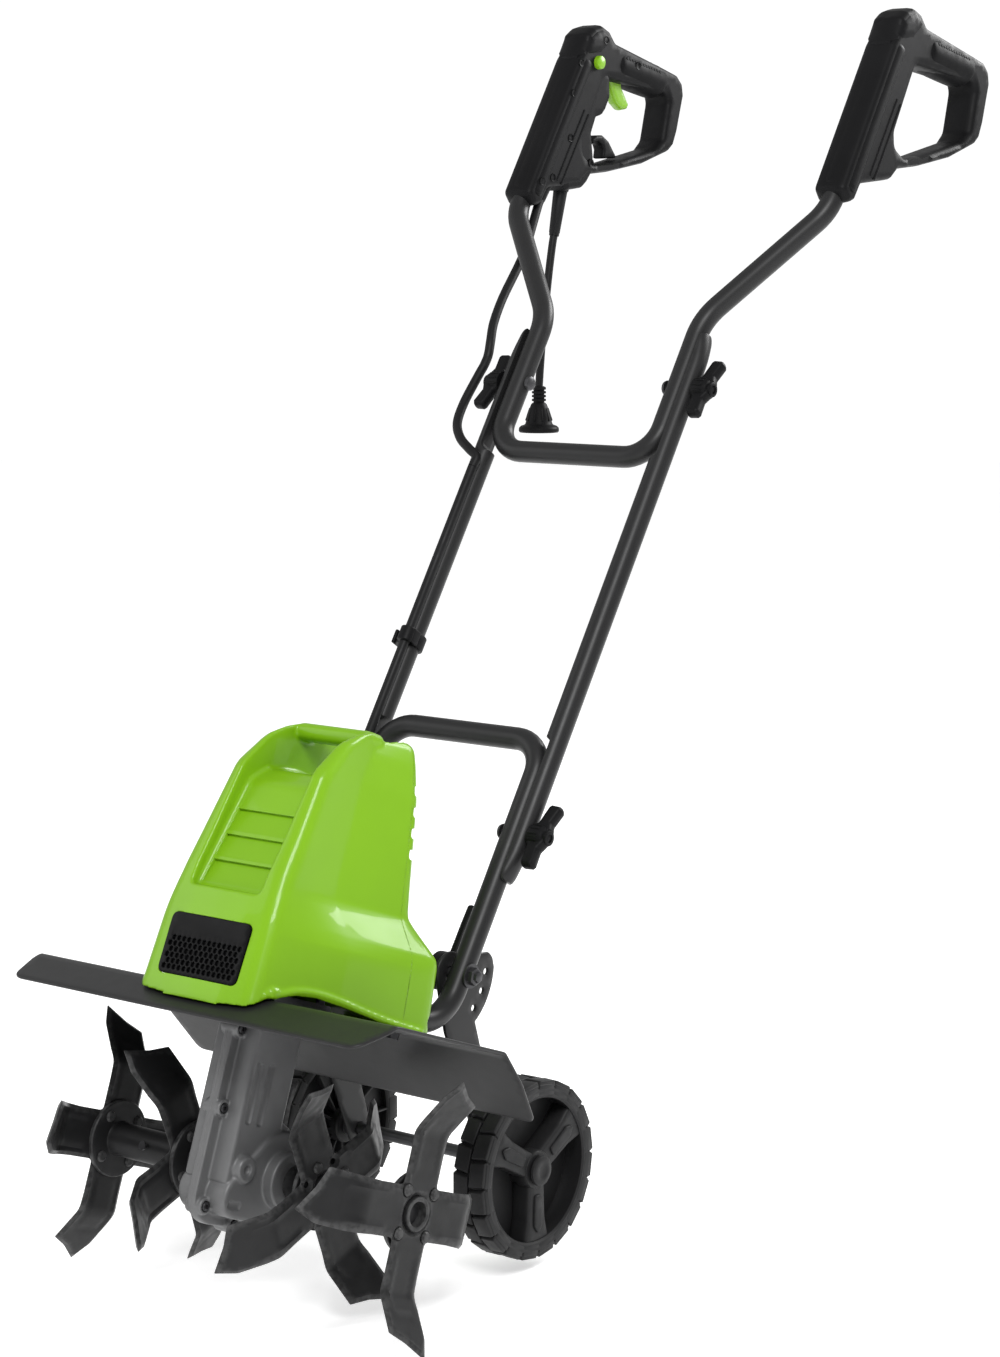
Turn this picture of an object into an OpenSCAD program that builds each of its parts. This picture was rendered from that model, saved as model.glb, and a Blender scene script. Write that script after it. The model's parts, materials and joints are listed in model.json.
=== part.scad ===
// Mini cultivator: four tine discs on a worm gearbox under a sheet deck, an upright
// motor in a two-part cover, a two-stage folding tube handle with two D grips, and
// swing-up transport wheels. X runs across the machine, Y runs back to the operator.

/* [Stance] */
// Height of the tine axle above the ground
axle_h = 101.4; // [98:0.1:105]
// Backward lean of the gearbox and deck
lean_a = 20; // [16:1:24]
// Distance of the overall middle behind the tine axle
mid_y = 325.3; // [300:0.1:360]

/* [Deck] */
// Width of the deck at its front bend
deck_w = 358; // [340:1:380]
// Thickness of the deck sheet
deck_t = 2.5; // [1.5:0.5:4]
// Height of the deck's flat top above the tine axle
deck_z = 126; // [124:1:128]
// Front bend of the deck
deck_front = -97; // [-100:1:-92]
// Rear bend of the deck
deck_rear = 31; // [28:1:34]

/* [Tines] */
// Radius over the tine tips
tine_r = 105; // [100:1:110]
// Thickness of the tine plate
tine_t = 4; // [3:0.5:5]
// Distance of the inner discs from the middle
tine_in_x = 64; // [62:1:66]
// Distance of the outer discs from the middle
tine_out_x = 150; // [145:1:155]
// Radius where an arm starts to bend
tine_bend_r = 58; // [54:1:64]
// Sideways bend of an arm's tip
tine_bend_a = 36; // [30:1:40]
// Diameter of the tine shaft
shaft_d = 18; // [16:1:18]

/* [Gearbox and motor] */
// Distance of the worm from the tine axle
worm_c = 37; // [37:0.5:38]
// Teeth on the worm wheel
wheel_teeth = 24; // [24:12:48]
// Outer radius of the motor's stator
stator_r = 38; // [36:1:39]

/* [Handle] */
// Outer diameter of the handle tube
tube_d = 18; // [16:1:20]
// Wall of the handle tube
tube_wall = 1.2; // [1:0.1:2]
// Slope of the handle tubes
rail_a = 57.2; // [56:0.1:58]
// Distance of the frame legs from the middle
leg_x = 80.7; // [80:0.1:82]
// Distance of the D grips from the middle
grip_x = 161; // [158:1:166]
// Width of a D grip
grip_w = 34; // [30:1:36]

/* [Wheels] */
// Radius of the transport wheels
wheel_r = 70; // [68:1:72]
// Distance of a wheel's middle plane from the middle
wheel_x = 101; // [99:1:104]
// Width of a wheel's tread
wheel_w = 30; // [26:1:32]
// Diameter of the wheel axle
axle_d = 10; // [8:1:12]

/* [Hidden] */
$fn = 64;
tube_r = tube_d / 2;
gap = 0.3;
// Fold pivots and the wheel bracket's pivot, as [y, z] from the tine axle
low_piv = [205, 237];
rail_dir = [cos(rail_a), sin(rail_a)];
fold_len = 397;
brk_piv = low_piv - 118 * rail_dir;
wheel_c = [193, -22];
mid_x = leg_x + tube_r + gap;
// Stations along the rail, measured from the lower fold pivot
low_cross_s = 78;
up_cross_s = 332;
tongue_low = [-40, 80];
tongue_up = [330, 447];
// Bend where a lower leg turns forward onto the deck, in the leaning frame
foot_z = deck_z + tube_r + 0.5;
foot_r = 40;
foot_len = 22;
foot_bolt_y = 20;
rail_lean = rail_a + lean_a;
low_piv_lean = [low_piv[0] * cos(lean_a) - low_piv[1] * sin(lean_a),
  low_piv[0] * sin(lean_a) + low_piv[1] * cos(lean_a)];
foot_s = (foot_z + foot_r - low_piv_lean[1] - foot_r * cos(rail_lean)) / sin(rail_lean);
// Bends of the tubes: corner radius, lap into the bend and its extra skin
corner_r = 28;
lap = 0.5;
skin = 0.04;
// Corners of the upper handle's outward bends, as [x, y, z] from the tine axle
rail_dir3 = [0, rail_dir[0], rail_dir[1]];
splay_s = 462;
splay_a = [leg_x, low_piv[0], low_piv[1]] + splay_s * rail_dir3;
splay_b = [grip_x, 517, 713];
// Drive
worm_lead = 7.07;
worm_turns = 2;
base_bolts = [-62, -12];
// Screws of the casting's joint, as [y, z]
joint_screws = [[-62, 102], [-62, 43], [-58, -29], [-23, -39], [30, -28], [-3, 51], [-3, 100]];
rivet_r = 22;
rivet_turn = 45;
hub_end = 156;
pin_x = 105;
pitch_r = wheel_teeth * worm_lead / (2 * PI);
bolt_r = 3;
bolt_hole_r = 3.2;
// Cover levels: [z, front y, front half width, rear y, rear half width, corner radius]
cover_levels = [
  [127, -113, 55, 52, 94, 9], [180, -108, 54, 51, 90, 9], [216, -102, 52, 32, 66, 9],
  [296, -79, 46, 30, 53, 9], [322, -57, 42, 28, 46, 9], [341, -20, 36, 27, 39, 7]];
cover_wall = 3;
seam_y = 20;
channel_w = 34;
trigger_piv = [645, 839];
// Mains lead and motor cable, points from the tine axle
lead_d = 7;
lead_x = -162;
lead_pts = [[lead_x, 573, 696], [lead_x, 570, 685], [lead_x, 565, 660], [lead_x, 560, 630],
  [lead_x, 556, 605], [lead_x, 553, 580], [lead_x, 551, 560]];
// Motor cable, points along the left rail as [x, height off the rail, station]
cable_d = 8;
cable_up_pts = [[-157, 21, 604], [-155, 20, 588], [-150, 18, 560], [-146, 16, 540],
  [-143, 12, 520], [-138, 2, 482], [-132, -6, 450], [-126.5, -2, 434], [-126, -0.5, 426],
  [-126, -0.3, 420.5]];
cable_loop_pts = [[-126, -0.3, 419.9], [-126, -0.8, 412], [-127, -2, 400], [-127, -6, 372], [-121, -11, 350],
  [-108, -15, 334], [-94, -15, 324], [-85, -13, 318], [-85, -13, 308.5]];
cable_mid_pts = [[-85, -13, 308], [-85, -13, 240], [-85, -13, 160], [-85, -13, 80], [-85, -13, 34]];
cable_low_pts = [[-85, -13, 33.5], [-85, -13.2, 28], [-86, -15.5, 20], [-81, -21, 6],
  [-70, -26, -12], [-57, -31, -34], [-46, -36, -55], [-41, -43, -67], [-40, -51, -71], [-40, -59, -73]];

// Frames -------------------------------------------------------------------

module placed() { translate([0, -mid_y, axle_h]) children(); }

module leaning() { placed() rotate([-lean_a, 0, 0]) children(); }

// Local Z along the handle rail, origin on the lower fold axis
module on_rail(s = 0, x = 0) {
  placed() translate([x, low_piv[0], low_piv[1]]) rotate([rail_a - 90, 0, 0])
    translate([0, 0, s]) children();
}

module both_sides() {
  children();
  mirror([1, 0, 0]) children();
}

module x_rod(r, x0, x1) { translate([x0, 0, 0]) rotate([0, 90, 0]) cylinder(r = r, h = x1 - x0); }

module y_rod(r, y0, y1) { translate([0, y1, 0]) rotate([90, 0, 0]) cylinder(r = r, h = y1 - y0); }

module ring(ro, ri, h) {
  difference() {
    cylinder(r = ro, h = h);
    translate([0, 0, -1]) cylinder(r = ri, h = h + 2);
  }
}

// Swept cord: one ring of points at each route point
function unit(v) = v / norm(v);
function tangent(p, i) =
  unit(p[min(i + 1, len(p) - 1)] - p[max(i - 1, 0)]);
function side_of(t) = unit(cross(t, [1, 0.2, 0.1]));
function cord_rings(p, r, n) = [for (i = [0:len(p) - 1]) let (t = tangent(p, i),
  u = side_of(t), v = cross(t, u)) each [for (k = [0:n - 1])
  p[i] + r * (cos(360 * k / n) * u + sin(360 * k / n) * v)]];
module cord(p, d, n = 8) {
  m = len(p);
  polyhedron(cord_rings(p, d / 2, n), concat([[for (k = [0:n - 1]) k]],
    [for (i = [0:m - 2]) each [for (k = [0:n - 1])
      [i * n + k, (i + 1) * n + k, (i + 1) * n + (k + 1) % n, i * n + (k + 1) % n]]],
    [[for (k = [n - 1:-1:0]) (m - 1) * n + k]]));
}

// Deck ---------------------------------------------------------------------

module deck_profile() {
  polygon([[deck_front, deck_z], [deck_rear, deck_z], [95, 82], [95 - 1.5, 82 - 2.1],
    [deck_rear - 0.9, deck_z - deck_t], [deck_front + 0.8, deck_z - deck_t],
    [-129 + 1.3, 105 - 2.1], [-129, 105]]);
}

module deck_plan() {
  half = deck_w / 2;
  hull() {
    for (s = [-1, 1]) {
      translate([s * (half - 22), -115]) circle(r = 15);
      translate([s * (half - 15), deck_front]) circle(r = 15);
      translate([s * (half - 30), deck_rear]) circle(r = 30);
      translate([s * (half - 17), 85]) circle(r = 9);
    }
  }
}

module deck() {
  color("dimgray") leaning() difference() {
    intersection() {
      rotate([90, 0, 90]) translate([0, 0, -deck_w / 2]) linear_extrude(deck_w) deck_profile();
      linear_extrude(200) deck_plan();
    }
    translate([0, -worm_c, 100]) cylinder(r = 17, h = 40);
    both_sides() for (y = base_bolts) translate([27, y, 100]) cylinder(r = 2.7, h = 40);
    both_sides() translate([leg_x, foot_bolt_y, 100]) cylinder(r = bolt_hole_r, h = 40);
  }
}

// Cover --------------------------------------------------------------------

module level_discs(lv, inset, lift) {
  for (s = [-1, 1]) {
    translate([s * (lv[2] - lv[5] - inset), lv[1] + lv[5] + inset, lv[0] + lift])
      cylinder(r = lv[5], h = 0.5, $fn = 24);
    translate([s * (lv[4] - lv[5] - inset), lv[3] - lv[5] - inset, lv[0] + lift])
      cylinder(r = lv[5], h = 0.5, $fn = 24);
  }
}

module cover_body(inset) {
  for (i = [0:len(cover_levels) - 2]) hull() {
    level_discs(cover_levels[i], inset, i == 0 && inset > 0 ? -2 : 0);
    level_discs(cover_levels[i + 1], inset, i == len(cover_levels) - 2 ? -inset : 0);
  }
}

// Space between the side panels, in front of and above the domed motor housing
module channel(grow) {
  translate([-channel_w - grow, 0, 0]) rotate([90, 0, 90]) linear_extrude(2 * (channel_w + grow))
    polygon([[-140, 198 - grow], [-98 + grow, 198 - grow], [-69 + grow, 284 - grow],
      [-52 + grow, 296 - grow], [-20, 300 - grow], [60, 292 - grow], [60, 380], [-140, 380]]);
}

module cover_shell() {
  difference() {
    cover_body(0);
    channel(0);
    difference() {
      cover_body(cover_wall);
      channel(cover_wall);
    }
  }
  translate([-channel_w - 3, -32, 326]) cube([2 * channel_w + 6, 24, 12]);
}

module cover_front() {
  color([0.55, 0.8, 0.12]) leaning() difference() {
    intersection() {
      cover_shell();
      translate([-150, -200, 100]) cube([300, 200 + seam_y, 300]);
    }
    label_slot(0.2);
    leg_room();
    for (x = [-57, 57]) translate([x, seam_y - 6, 150]) y_rod(1.6, -6, 7);
  }
}

// Slots and bolt wells in the skirt over the frame's feet
module leg_room() {
  both_sides() translate([leg_x, 0, foot_z]) {
    y_rod(tube_r + 1.5, 6, 90);
    translate([-tube_r - 1.5, 6, -20]) cube([2 * tube_r + 3, 84, 20]);
    translate([0, foot_bolt_y, 0]) cylinder(r = 6.5, h = 14);
  }
}

module cover_rear() {
  color([0.55, 0.8, 0.12]) leaning() difference() {
    intersection() {
      cover_shell();
      translate([-150, seam_y, 100]) cube([300, 200, 300]);
    }
    for (i = [0:3]) translate([-60, 22, 252 + 16 * i]) cube([120, 20, 8]);
    leg_room();
    translate([-40, 0, 235]) y_rod(5.2, 20, 60);
  }
}

module label_slot(grow) {
  translate([-39 - grow, -116, 130 - grow]) rotate([-4.6, 0, 0])
    cube([78 + 2 * grow, 5 + grow, 46 + 2 * grow]);
}

module label_panel() {
  color([0.1, 0.1, 0.11]) leaning() difference() {
    translate([-39, -113.9, 130]) rotate([-4.6, 0, 0]) cube([78, 2.8, 46]);
    for (j = [0:2], i = [0:8])
      translate([-34 + 8 * i + 4 * (j % 2), -118, 135 + 7 * j]) rotate([-90, 0, 0])
        cylinder(r = 2.6, h = 20, $fn = 6);
  }
}

// Gearbox ------------------------------------------------------------------

module gearbox_room() {
  hull() {
    x_rod(31, -19, 19);
    translate([0, -worm_c, 0]) x_rod(9, -19, 19);
  }
  translate([-16, -49, 0]) cube([32, 36, deck_z - deck_t - 8]);
  translate([0, -worm_c, -8.6]) cylinder(r = 9.9, h = 60);
  translate([0, -worm_c, -12.1]) cylinder(r = 6.05, h = 10);
  translate([0, -worm_c, 100]) cylinder(r = 11.05, h = 40);
}

module gearbox_body() {
  hull() {
    x_rod(36, -24, 24);
    translate([0, -42, -18]) x_rod(16, -24, 24);
  }
  translate([-21, -58, -18]) cube([42, 50, deck_z - deck_t + 18]);
  translate([-36, -70, deck_z - deck_t - 7]) cube([72, 66, 7]);
  x_rod(22, -34, 34);
}

// Joint flange round the casting, with a boss at every screw
module gearbox_flange() {
  hull() {
    x_rod(42, -4, 4);
    translate([0, -46, -20]) x_rod(22, -4, 4);
  }
  translate([-4, -68, -20]) cube([8, 66, deck_z - deck_t + 20]);
  for (p = joint_screws) translate([0, p[0], p[1]]) x_rod(6.5, -8, 8);
}

module gearbox() {
  difference() {
    union() {
      gearbox_body();
      gearbox_flange();
      translate([0, -43, 3]) x_rod(9, 0, 27);
    }
    gearbox_room();
    x_rod(16.1, -30, 30);
    x_rod(shaft_d / 2 + 0.6, -40, 40);
    both_sides() for (y = base_bolts) translate([27, y, 100]) cylinder(r = 2.7, h = 40);
    for (y = [-50, -38]) translate([19.5, y, 34]) cube([5, 5, 48]);
    translate([0, -43, 3]) x_rod(4, 24.5, 30);
    for (p = joint_screws) translate([0, p[0], p[1]]) {
      x_rod(1.8, -6, 10);
      x_rod(4, 8, 30);
    }
  }
}

module gearbox_left() {
  color([0.45, 0.46, 0.47]) leaning() intersection() {
    gearbox();
    translate([-60, -100, -60]) cube([60, 200, 200]);
  }
}

module gearbox_right() {
  color([0.45, 0.46, 0.47]) leaning() intersection() {
    gearbox();
    translate([0, -100, -60]) cube([60, 200, 200]);
  }
}

module housing_screws() {
  color("silver") leaning() {
    both_sides() translate([57, 0, 150]) {
      y_rod(1.5, 12, 40);
      y_rod(3.5, 40, 42);
    }
    for (p = joint_screws) translate([0, p[0], p[1]]) {
      x_rod(1.7, -5, 8.5);
      x_rod(3.4, 8, 11);
    }
    both_sides() for (y = base_bolts) translate([27, y, 0]) {
      translate([0, 0, 112]) cylinder(r = 2.6, h = 20);
      translate([0, 0, 112]) cylinder(r = 5, h = 4.4, $fn = 6);
    }
  }
}

// Motor --------------------------------------------------------------------

module motor_axis() { leaning() translate([0, -worm_c, 0]) children(); }

module post_places() { for (a = [45:90:315]) rotate([0, 0, a]) translate([41.5, 0, 0]) children(); }

module motor_base() {
  color([0.6, 0.6, 0.62]) motor_axis() difference() {
    union() {
      translate([-38, -32, deck_z]) cube([76, 64, 6]);
      translate([0, 0, deck_z]) cylinder(r = 18, h = 6);
      post_places() translate([0, 0, deck_z]) cylinder(r = 5, h = 6);
      post_places() translate([0, 0, deck_z]) cylinder(r = 3.4, h = 112);
    }
    translate([0, 0, 120]) cylinder(r = 6, h = 20);
    both_sides() for (y = base_bolts) translate([27, y + worm_c, 100]) cylinder(r = 2.65, h = 40);
  }
}

module stator() {
  color([0.35, 0.36, 0.38]) motor_axis() translate([0, 0, 158]) difference() {
    cylinder(r = stator_r, h = 48);
    translate([0, 0, -1]) cylinder(r = 21.6, h = 50);
    for (a = [0, 180]) rotate([0, 0, a]) translate([23, -13, -1]) cube([9, 26, 50]);
  }
}

module field_coils() {
  color([0.72, 0.4, 0.2]) motor_axis() for (a = [0, 180]) rotate([0, 0, a])
    difference() {
      translate([23.5, -12.5, 152]) cube([8, 25, 60]);
      translate([20, -6, 150]) cube([20, 12, 4]);
    }
}

module end_bracket() {
  color([0.6, 0.6, 0.62]) motor_axis() difference() {
    union() {
      translate([0, 0, 238]) cylinder(r = 26, h = 7);
      post_places() translate([0, 0, 238]) cylinder(r = 5, h = 7);
      for (a = [45:90:315]) rotate([0, 0, a]) translate([0, -4, 238]) cube([41.5, 8, 7]);
      translate([0, 0, 238]) cylinder(r = 14, h = 18);
    }
    translate([0, 0, 230]) cylinder(r = 6, h = 16);
    translate([0, 0, 245]) cylinder(r = 11.05, h = 8);
  }
}

module brush_holders() {
  color([0.7, 0.55, 0.25]) motor_axis() for (a = [0, 180]) rotate([0, 0, a])
    translate([12.4, -4, 222]) cube([20, 8, 16]);
}

module bearing(r_out, r_in, h) {
  difference() {
    cylinder(r = r_out, h = h);
    translate([0, 0, -1]) cylinder(r = r_in, h = h + 2);
  }
}

module drive_bearings() {
  color("lightsteelblue") {
    motor_axis() translate([0, 0, 112]) bearing(11, 4.03, 7);
    motor_axis() translate([0, 0, 245]) bearing(11, 4.03, 7);
    motor_axis() translate([0, 0, -12]) bearing(6, 4.03, 3);
    leaning() both_sides() translate([20, 0, 0]) rotate([0, 90, 0]) bearing(16, shaft_d / 2 + 0.03, 9);
  }
}

module armature_shaft() { color("silver") motor_axis() translate([0, 0, -11.7]) cylinder(r = 4, h = 263.5); }

module armature_core() {
  color([0.5, 0.5, 0.52]) motor_axis() translate([0, 0, 160]) difference() {
    cylinder(r = 20.8, h = 44);
    translate([0, 0, -1]) cylinder(r = 4, h = 46);
    for (k = [0:11]) rotate([0, 0, 30 * k]) translate([15, -1.2, -1]) cube([8, 2.4, 46]);
  }
}

module commutator() { color([0.75, 0.45, 0.25]) motor_axis() translate([0, 0, 220]) ring(12, 4, 16); }

module cooling_fan() {
  color([0.2, 0.2, 0.2]) motor_axis() translate([0, 0, 136]) {
    ring(32, 4, 2);
    ring(9, 4, 12);
    for (k = [0:8]) rotate([0, 0, 40 * k]) translate([8.5, -0.8, 1.5]) cube([22, 1.6, 10]);
  }
}

// Single-start square thread, with a gap facing the wheel at the wheel's own height
module worm_thread() {
  n = 16 * worm_turns;
  pts = [for (i = [0:n]) let (z = (i / n - 0.5) * worm_turns * worm_lead, a = 270 + 360 * z / worm_lead)
    each [for (q = [[5.3, -0.98], [9.4, -0.98], [9.4, 0.98], [5.3, 0.98]])
      [q[0] * cos(a), q[0] * sin(a), z + q[1]]]];
  sides = [for (i = [0:n - 1], k = [0:3]) let (p = 4 * i + k, q = 4 * i + (k + 1) % 4)
    each [[p, q, p + 4], [q, q + 4, p + 4]]];
  polyhedron(pts, concat([[0, 2, 1], [0, 3, 2]], sides,
    [[4 * n, 4 * n + 1, 4 * n + 2], [4 * n, 4 * n + 2, 4 * n + 3]]));
}

module worm() {
  color("silver") motor_axis() difference() {
    union() {
      translate([0, 0, -8.3]) cylinder(r = 6.2, h = 46);
      worm_thread();
    }
    translate([0, 0, -20]) cylinder(r = 4, h = 80);
  }
}

// Tines --------------------------------------------------------------------

module worm_wheel() {
  n = wheel_teeth;
  color([0.8, 0.65, 0.3]) leaning() difference() {
    translate([-5, 0, 0]) rotate([90, 0, 90]) linear_extrude(10)
      polygon([for (i = [0:n - 1]) let (a = 360 * i / n) each [
        (pitch_r - 2.6) * [cos(a - 4.6), sin(a - 4.6)], (pitch_r + 1.8) * [cos(a - 2.2), sin(a - 2.2)],
        (pitch_r + 1.8) * [cos(a + 2.2), sin(a + 2.2)], (pitch_r - 2.6) * [cos(a + 4.6), sin(a + 4.6)]]]);
    x_rod(shaft_d / 2, -20, 20);
  }
}

module tine_shaft() {
  color("silver") leaning() difference() {
    x_rod(shaft_d / 2, 8 - hub_end, hub_end - 8);
    both_sides() translate([pin_x, 0, 0]) y_rod(2.1, -20, 20);
  }
}

module rivet_places() { for (a = [0:90:270]) rotate([a + rivet_turn, 0, 0]) children(); }

module hub_tube() {
  difference() {
    union() {
      x_rod(13, 36, hub_end);
      for (x = [tine_in_x - tine_t, tine_out_x - tine_t]) x_rod(30, x, x + tine_t);
    }
    x_rod(shaft_d / 2 + 0.1, 30, 170);
    translate([pin_x, 0, 0]) y_rod(2.1, -20, 20);
    rivet_places() translate([0, rivet_r, 0]) x_rod(2.6, 30, 170);
  }
}

module hub_tubes() { color([0.25, 0.25, 0.27]) leaning() both_sides() hub_tube(); }

// One arm along +Y of a disc lying in the YZ plane at x = 0, its tip bent towards +X
module tine_arm() {
  tip = tine_r - tine_bend_r;
  dx = tip * tan(tine_bend_a);
  t = tine_t / cos(tine_bend_a);
  intersection() {
    translate([0, 0, -40]) linear_extrude(80) polygon([[0, 20], [tine_t, 20],
      [tine_t, tine_bend_r], [t + dx, tine_r], [dx, tine_r], [0, tine_bend_r + 1.2]]);
    rotate([90, 0, 90]) translate([0, 0, -5]) linear_extrude(60) polygon([[18, -17], [44, -20],
      [66, -25], [88, -23], [tine_r, 8], [96, 17], [70, 21], [44, 20], [18, 17]]);
  }
}

module tine_disc(turn, out) {
  difference() {
    union() {
      x_rod(33, 0, tine_t);
      for (k = [0:3]) rotate([90 * k + turn, 0, 0]) {
        if (k % 2 == out) translate([tine_t, 0, 0]) mirror([1, 0, 0]) tine_arm();
        else tine_arm();
      }
    }
    x_rod(13.1, -10, 20);
    rivet_places() translate([0, rivet_r, 0]) x_rod(2.6, -10, 20);
  }
}

module tine_place(x) { leaning() translate([x, 0, 0]) children(); }

module tine_outer() { tine_place(tine_out_x) tine_disc(0, 0); }

module tine_inner() { tine_place(tine_in_x) tine_disc(40, 0); }

module tine_rivets() {
  color([0.3, 0.3, 0.32]) leaning() both_sides()
    for (x = [tine_in_x, tine_out_x]) rivet_places() translate([0, rivet_r, 0]) {
      x_rod(2.55, x - tine_t, x + tine_t);
      x_rod(4.5, x + tine_t, x + tine_t + 2.2);
      x_rod(4.5, x - tine_t - 2, x - tine_t);
    }
}

module hitch_pins() {
  color("silver") leaning() both_sides() translate([pin_x, 0, 0]) {
    y_rod(2, -16, 21);
    y_rod(3.4, -18, -16);
    translate([0, 21, 0]) rotate([0, 90, 0]) rotate_extrude() translate([6, 0]) circle(r = 1);
  }
}

// Lower frame and wheel bracket --------------------------------------------

// Straight tube between two heights on local Z
module pipe(z0, z1) {
  difference() {
    translate([0, 0, z0]) cylinder(r = tube_r, h = z1 - z0);
    translate([0, 0, z0 - 1]) cylinder(r = tube_r - tube_wall, h = z1 - z0 + 2);
  }
}

// Wall of a bent stretch, a hair thicker than the straight tube that laps into it
module bend_wall(bend, a) {
  rotate_extrude(angle = a) translate([bend, 0]) difference() {
    circle(r = tube_r + skin);
    circle(r = tube_r - tube_wall - skin);
  }
}

// Elbow in the XZ plane: starts at the origin heading up and turns towards -X
module elbow(bend, a) { translate([-bend, 0, 0]) rotate([90, 0, 0]) bend_wall(bend, a); }

module leg() {
  on_rail(foot_s, leg_x) {
    pipe(-lap, low_cross_s - corner_r - foot_s + lap);
    rotate([0, 0, 90]) mirror([0, 0, 1]) elbow(foot_r, rail_lean);
    translate([0, -foot_r, 0]) rotate([-rail_lean, 0, 0]) translate([0, foot_r, 0])
      pipe(-foot_len, lap);
  }
  on_rail(low_cross_s - corner_r, leg_x) elbow(corner_r, 90);
}

module cross_pipe(s) {
  half = leg_x - corner_r + lap;
  on_rail(s) rotate([0, 90, 0]) pipe(-half, half);
}

module lower_frame() {
  color([0.27, 0.28, 0.29]) difference() {
    union() {
      both_sides() leg();
      cross_pipe(low_cross_s);
    }
    on_rail() x_rod(bolt_hole_r, -120, 120);
    on_rail(-118) x_rod(4.2, -120, 120);
    leaning() both_sides() translate([leg_x, foot_bolt_y, 100]) cylinder(r = bolt_hole_r, h = 60);
  }
}

module frame_bolts() {
  color("silver") leaning() both_sides() translate([leg_x, foot_bolt_y, 0]) {
    translate([0, 0, deck_z - deck_t - 4]) cylinder(r = bolt_r, h = 30);
    translate([0, 0, deck_z - deck_t - 5]) cylinder(r = 5.5, h = 5, $fn = 6);
    translate([0, 0, foot_z + tube_r]) cylinder(r = 5.5, h = 3);
  }
}

module pivot_bolts() {
  color("silver") on_rail(-118) both_sides() {
    x_rod(4, 48, 94);
    x_rod(7.5, 46, 49);
    rotate([0, 90, 0]) translate([0, 0, leg_x + tube_r + 0.2]) cylinder(r = 7, h = 6, $fn = 6);
    x_rod(5, 94, 99);
  }
}

module lever_spring() {
  color("silver") on_rail(-118) translate([56, 0, 0]) rotate([0, -90, 0]) {
    for (k = [0:2]) translate([0, 0, 1 + 2.2 * k]) rotate_extrude() translate([6.4, 0])
      circle(r = 1, $fn = 16);
    ring(6.8, 5.9, 5.4);
    translate([0, -6.4, 1]) rotate([0, -90, 0]) cylinder(r = 1, h = 26);
  }
}

function arc(c, r, a0, a1, n) =
  [for (i = [0:n]) let (a = a0 + (a1 - a0) * i / n) c + r * [cos(a), sin(a)]];

module wheel_arm_plate() {
  hub = brk_piv;
  placed() translate([67.5, 0, 0]) rotate([90, 0, 90]) difference() {
    linear_extrude(3) polygon(concat(arc(hub, 16, 200, 15, 12), arc(hub, 54, 8, -56, 12),
      arc(wheel_c, 13, 20, -165, 12), [hub + [-6, -46]]));
    translate([hub[0], hub[1], -1]) cylinder(r = 4.05, h = 10);
    translate([wheel_c[0], wheel_c[1], -1]) cylinder(r = axle_d / 2, h = 10);
    for (a = [-50:20:-10]) translate([hub[0] + 44 * cos(a), hub[1] + 44 * sin(a), -1])
      cylinder(r = 2.6, h = 10);
  }
}

module wheel_axle() {
  color("silver") placed() translate([0, wheel_c[0], wheel_c[1]]) {
    x_rod(axle_d / 2, -118, 118);
    both_sides() ring_x(7, axle_d / 2, 71, 80);
  }
}

module ring_x(ro, ri, x0, x1) {
  difference() {
    x_rod(ro, x0, x1);
    x_rod(ri, x0 - 1, x1 + 1);
  }
}

module wheel_body() {
  x0 = wheel_x - wheel_w / 2;
  x1 = wheel_x + wheel_w / 2;
  difference() {
    union() {
      ring_x(wheel_r - 3, wheel_r - 12, x0, x1);
      for (k = [0:19]) rotate([18 * k, 0, 0]) {
        translate([x0, -5.5, wheel_r - 4]) cube([wheel_w * 0.46, 11, 3.4]);
        rotate([9, 0, 0]) translate([wheel_x + 1, -5.5, wheel_r - 4]) cube([wheel_w * 0.46, 11, 3.4]);
      }
      ring_x(wheel_r - 0.3, wheel_r - 5, wheel_x - 4, wheel_x + 4);
      ring_x(wheel_r - 11, 8, wheel_x - 2, wheel_x + 2);
      ring_x(14, axle_d / 2 + 0.1, 80.5, x1 - 1);
      for (a = [90, 210, 330]) rotate([a, 0, 0]) translate([wheel_x, -9, 10])
        cube([x1 - 2 - wheel_x, 18, wheel_r - 20]);
    }
    x_rod(axle_d / 2 + 0.1, 60, 130);
  }
}

module wheel() { color([0.13, 0.13, 0.14]) placed() translate([0, wheel_c[0], wheel_c[1]]) wheel_body(); }

module wheel_caps() {
  color([0.16, 0.16, 0.17]) placed() both_sides() translate([0, wheel_c[0], wheel_c[1]]) difference() {
    x_rod(12, wheel_x + wheel_w / 2 + 0.4, 120);
    x_rod(axle_d / 2, 100, 118);
  }
}

module lock_lever() {
  color([0.14, 0.14, 0.15]) on_rail(-118) difference() {
    union() {
      x_rod(15, 58, 67);
      translate([59, 4, 0]) cube([7, 8, 56]);
    }
    x_rod(4.1, 50, 70);
  }
}

// Folding handle -----------------------------------------------------------

module middle_tube() {
  on_rail(0, mid_x) difference() {
    translate([0, 0, tongue_low[0]]) cylinder(r = tube_r, h = tongue_up[1] - tongue_low[0]);
    translate([0, 0, tongue_low[1] + 3])
      cylinder(r = tube_r - tube_wall, h = tongue_up[0] - tongue_low[1] - 6);
    translate([-20, -20, tongue_low[0] - 1]) cube([20, 40, tongue_low[1] - tongue_low[0] + 1]);
    translate([-20, -20, tongue_up[0]]) cube([20, 40, 200]);
    for (s = [0, fold_len]) translate([0, 0, s]) x_rod(bolt_hole_r, -1, 20);
  }
}

module fold_bolt() {
  x_rod(bolt_r, leg_x - tube_r, mid_x + tube_r + 14);
  x_rod(6, leg_x - tube_r - 3.8, leg_x - tube_r - 0.3);
  x_rod(bolt_r, leg_x - tube_r - 1, leg_x);
}

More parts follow.
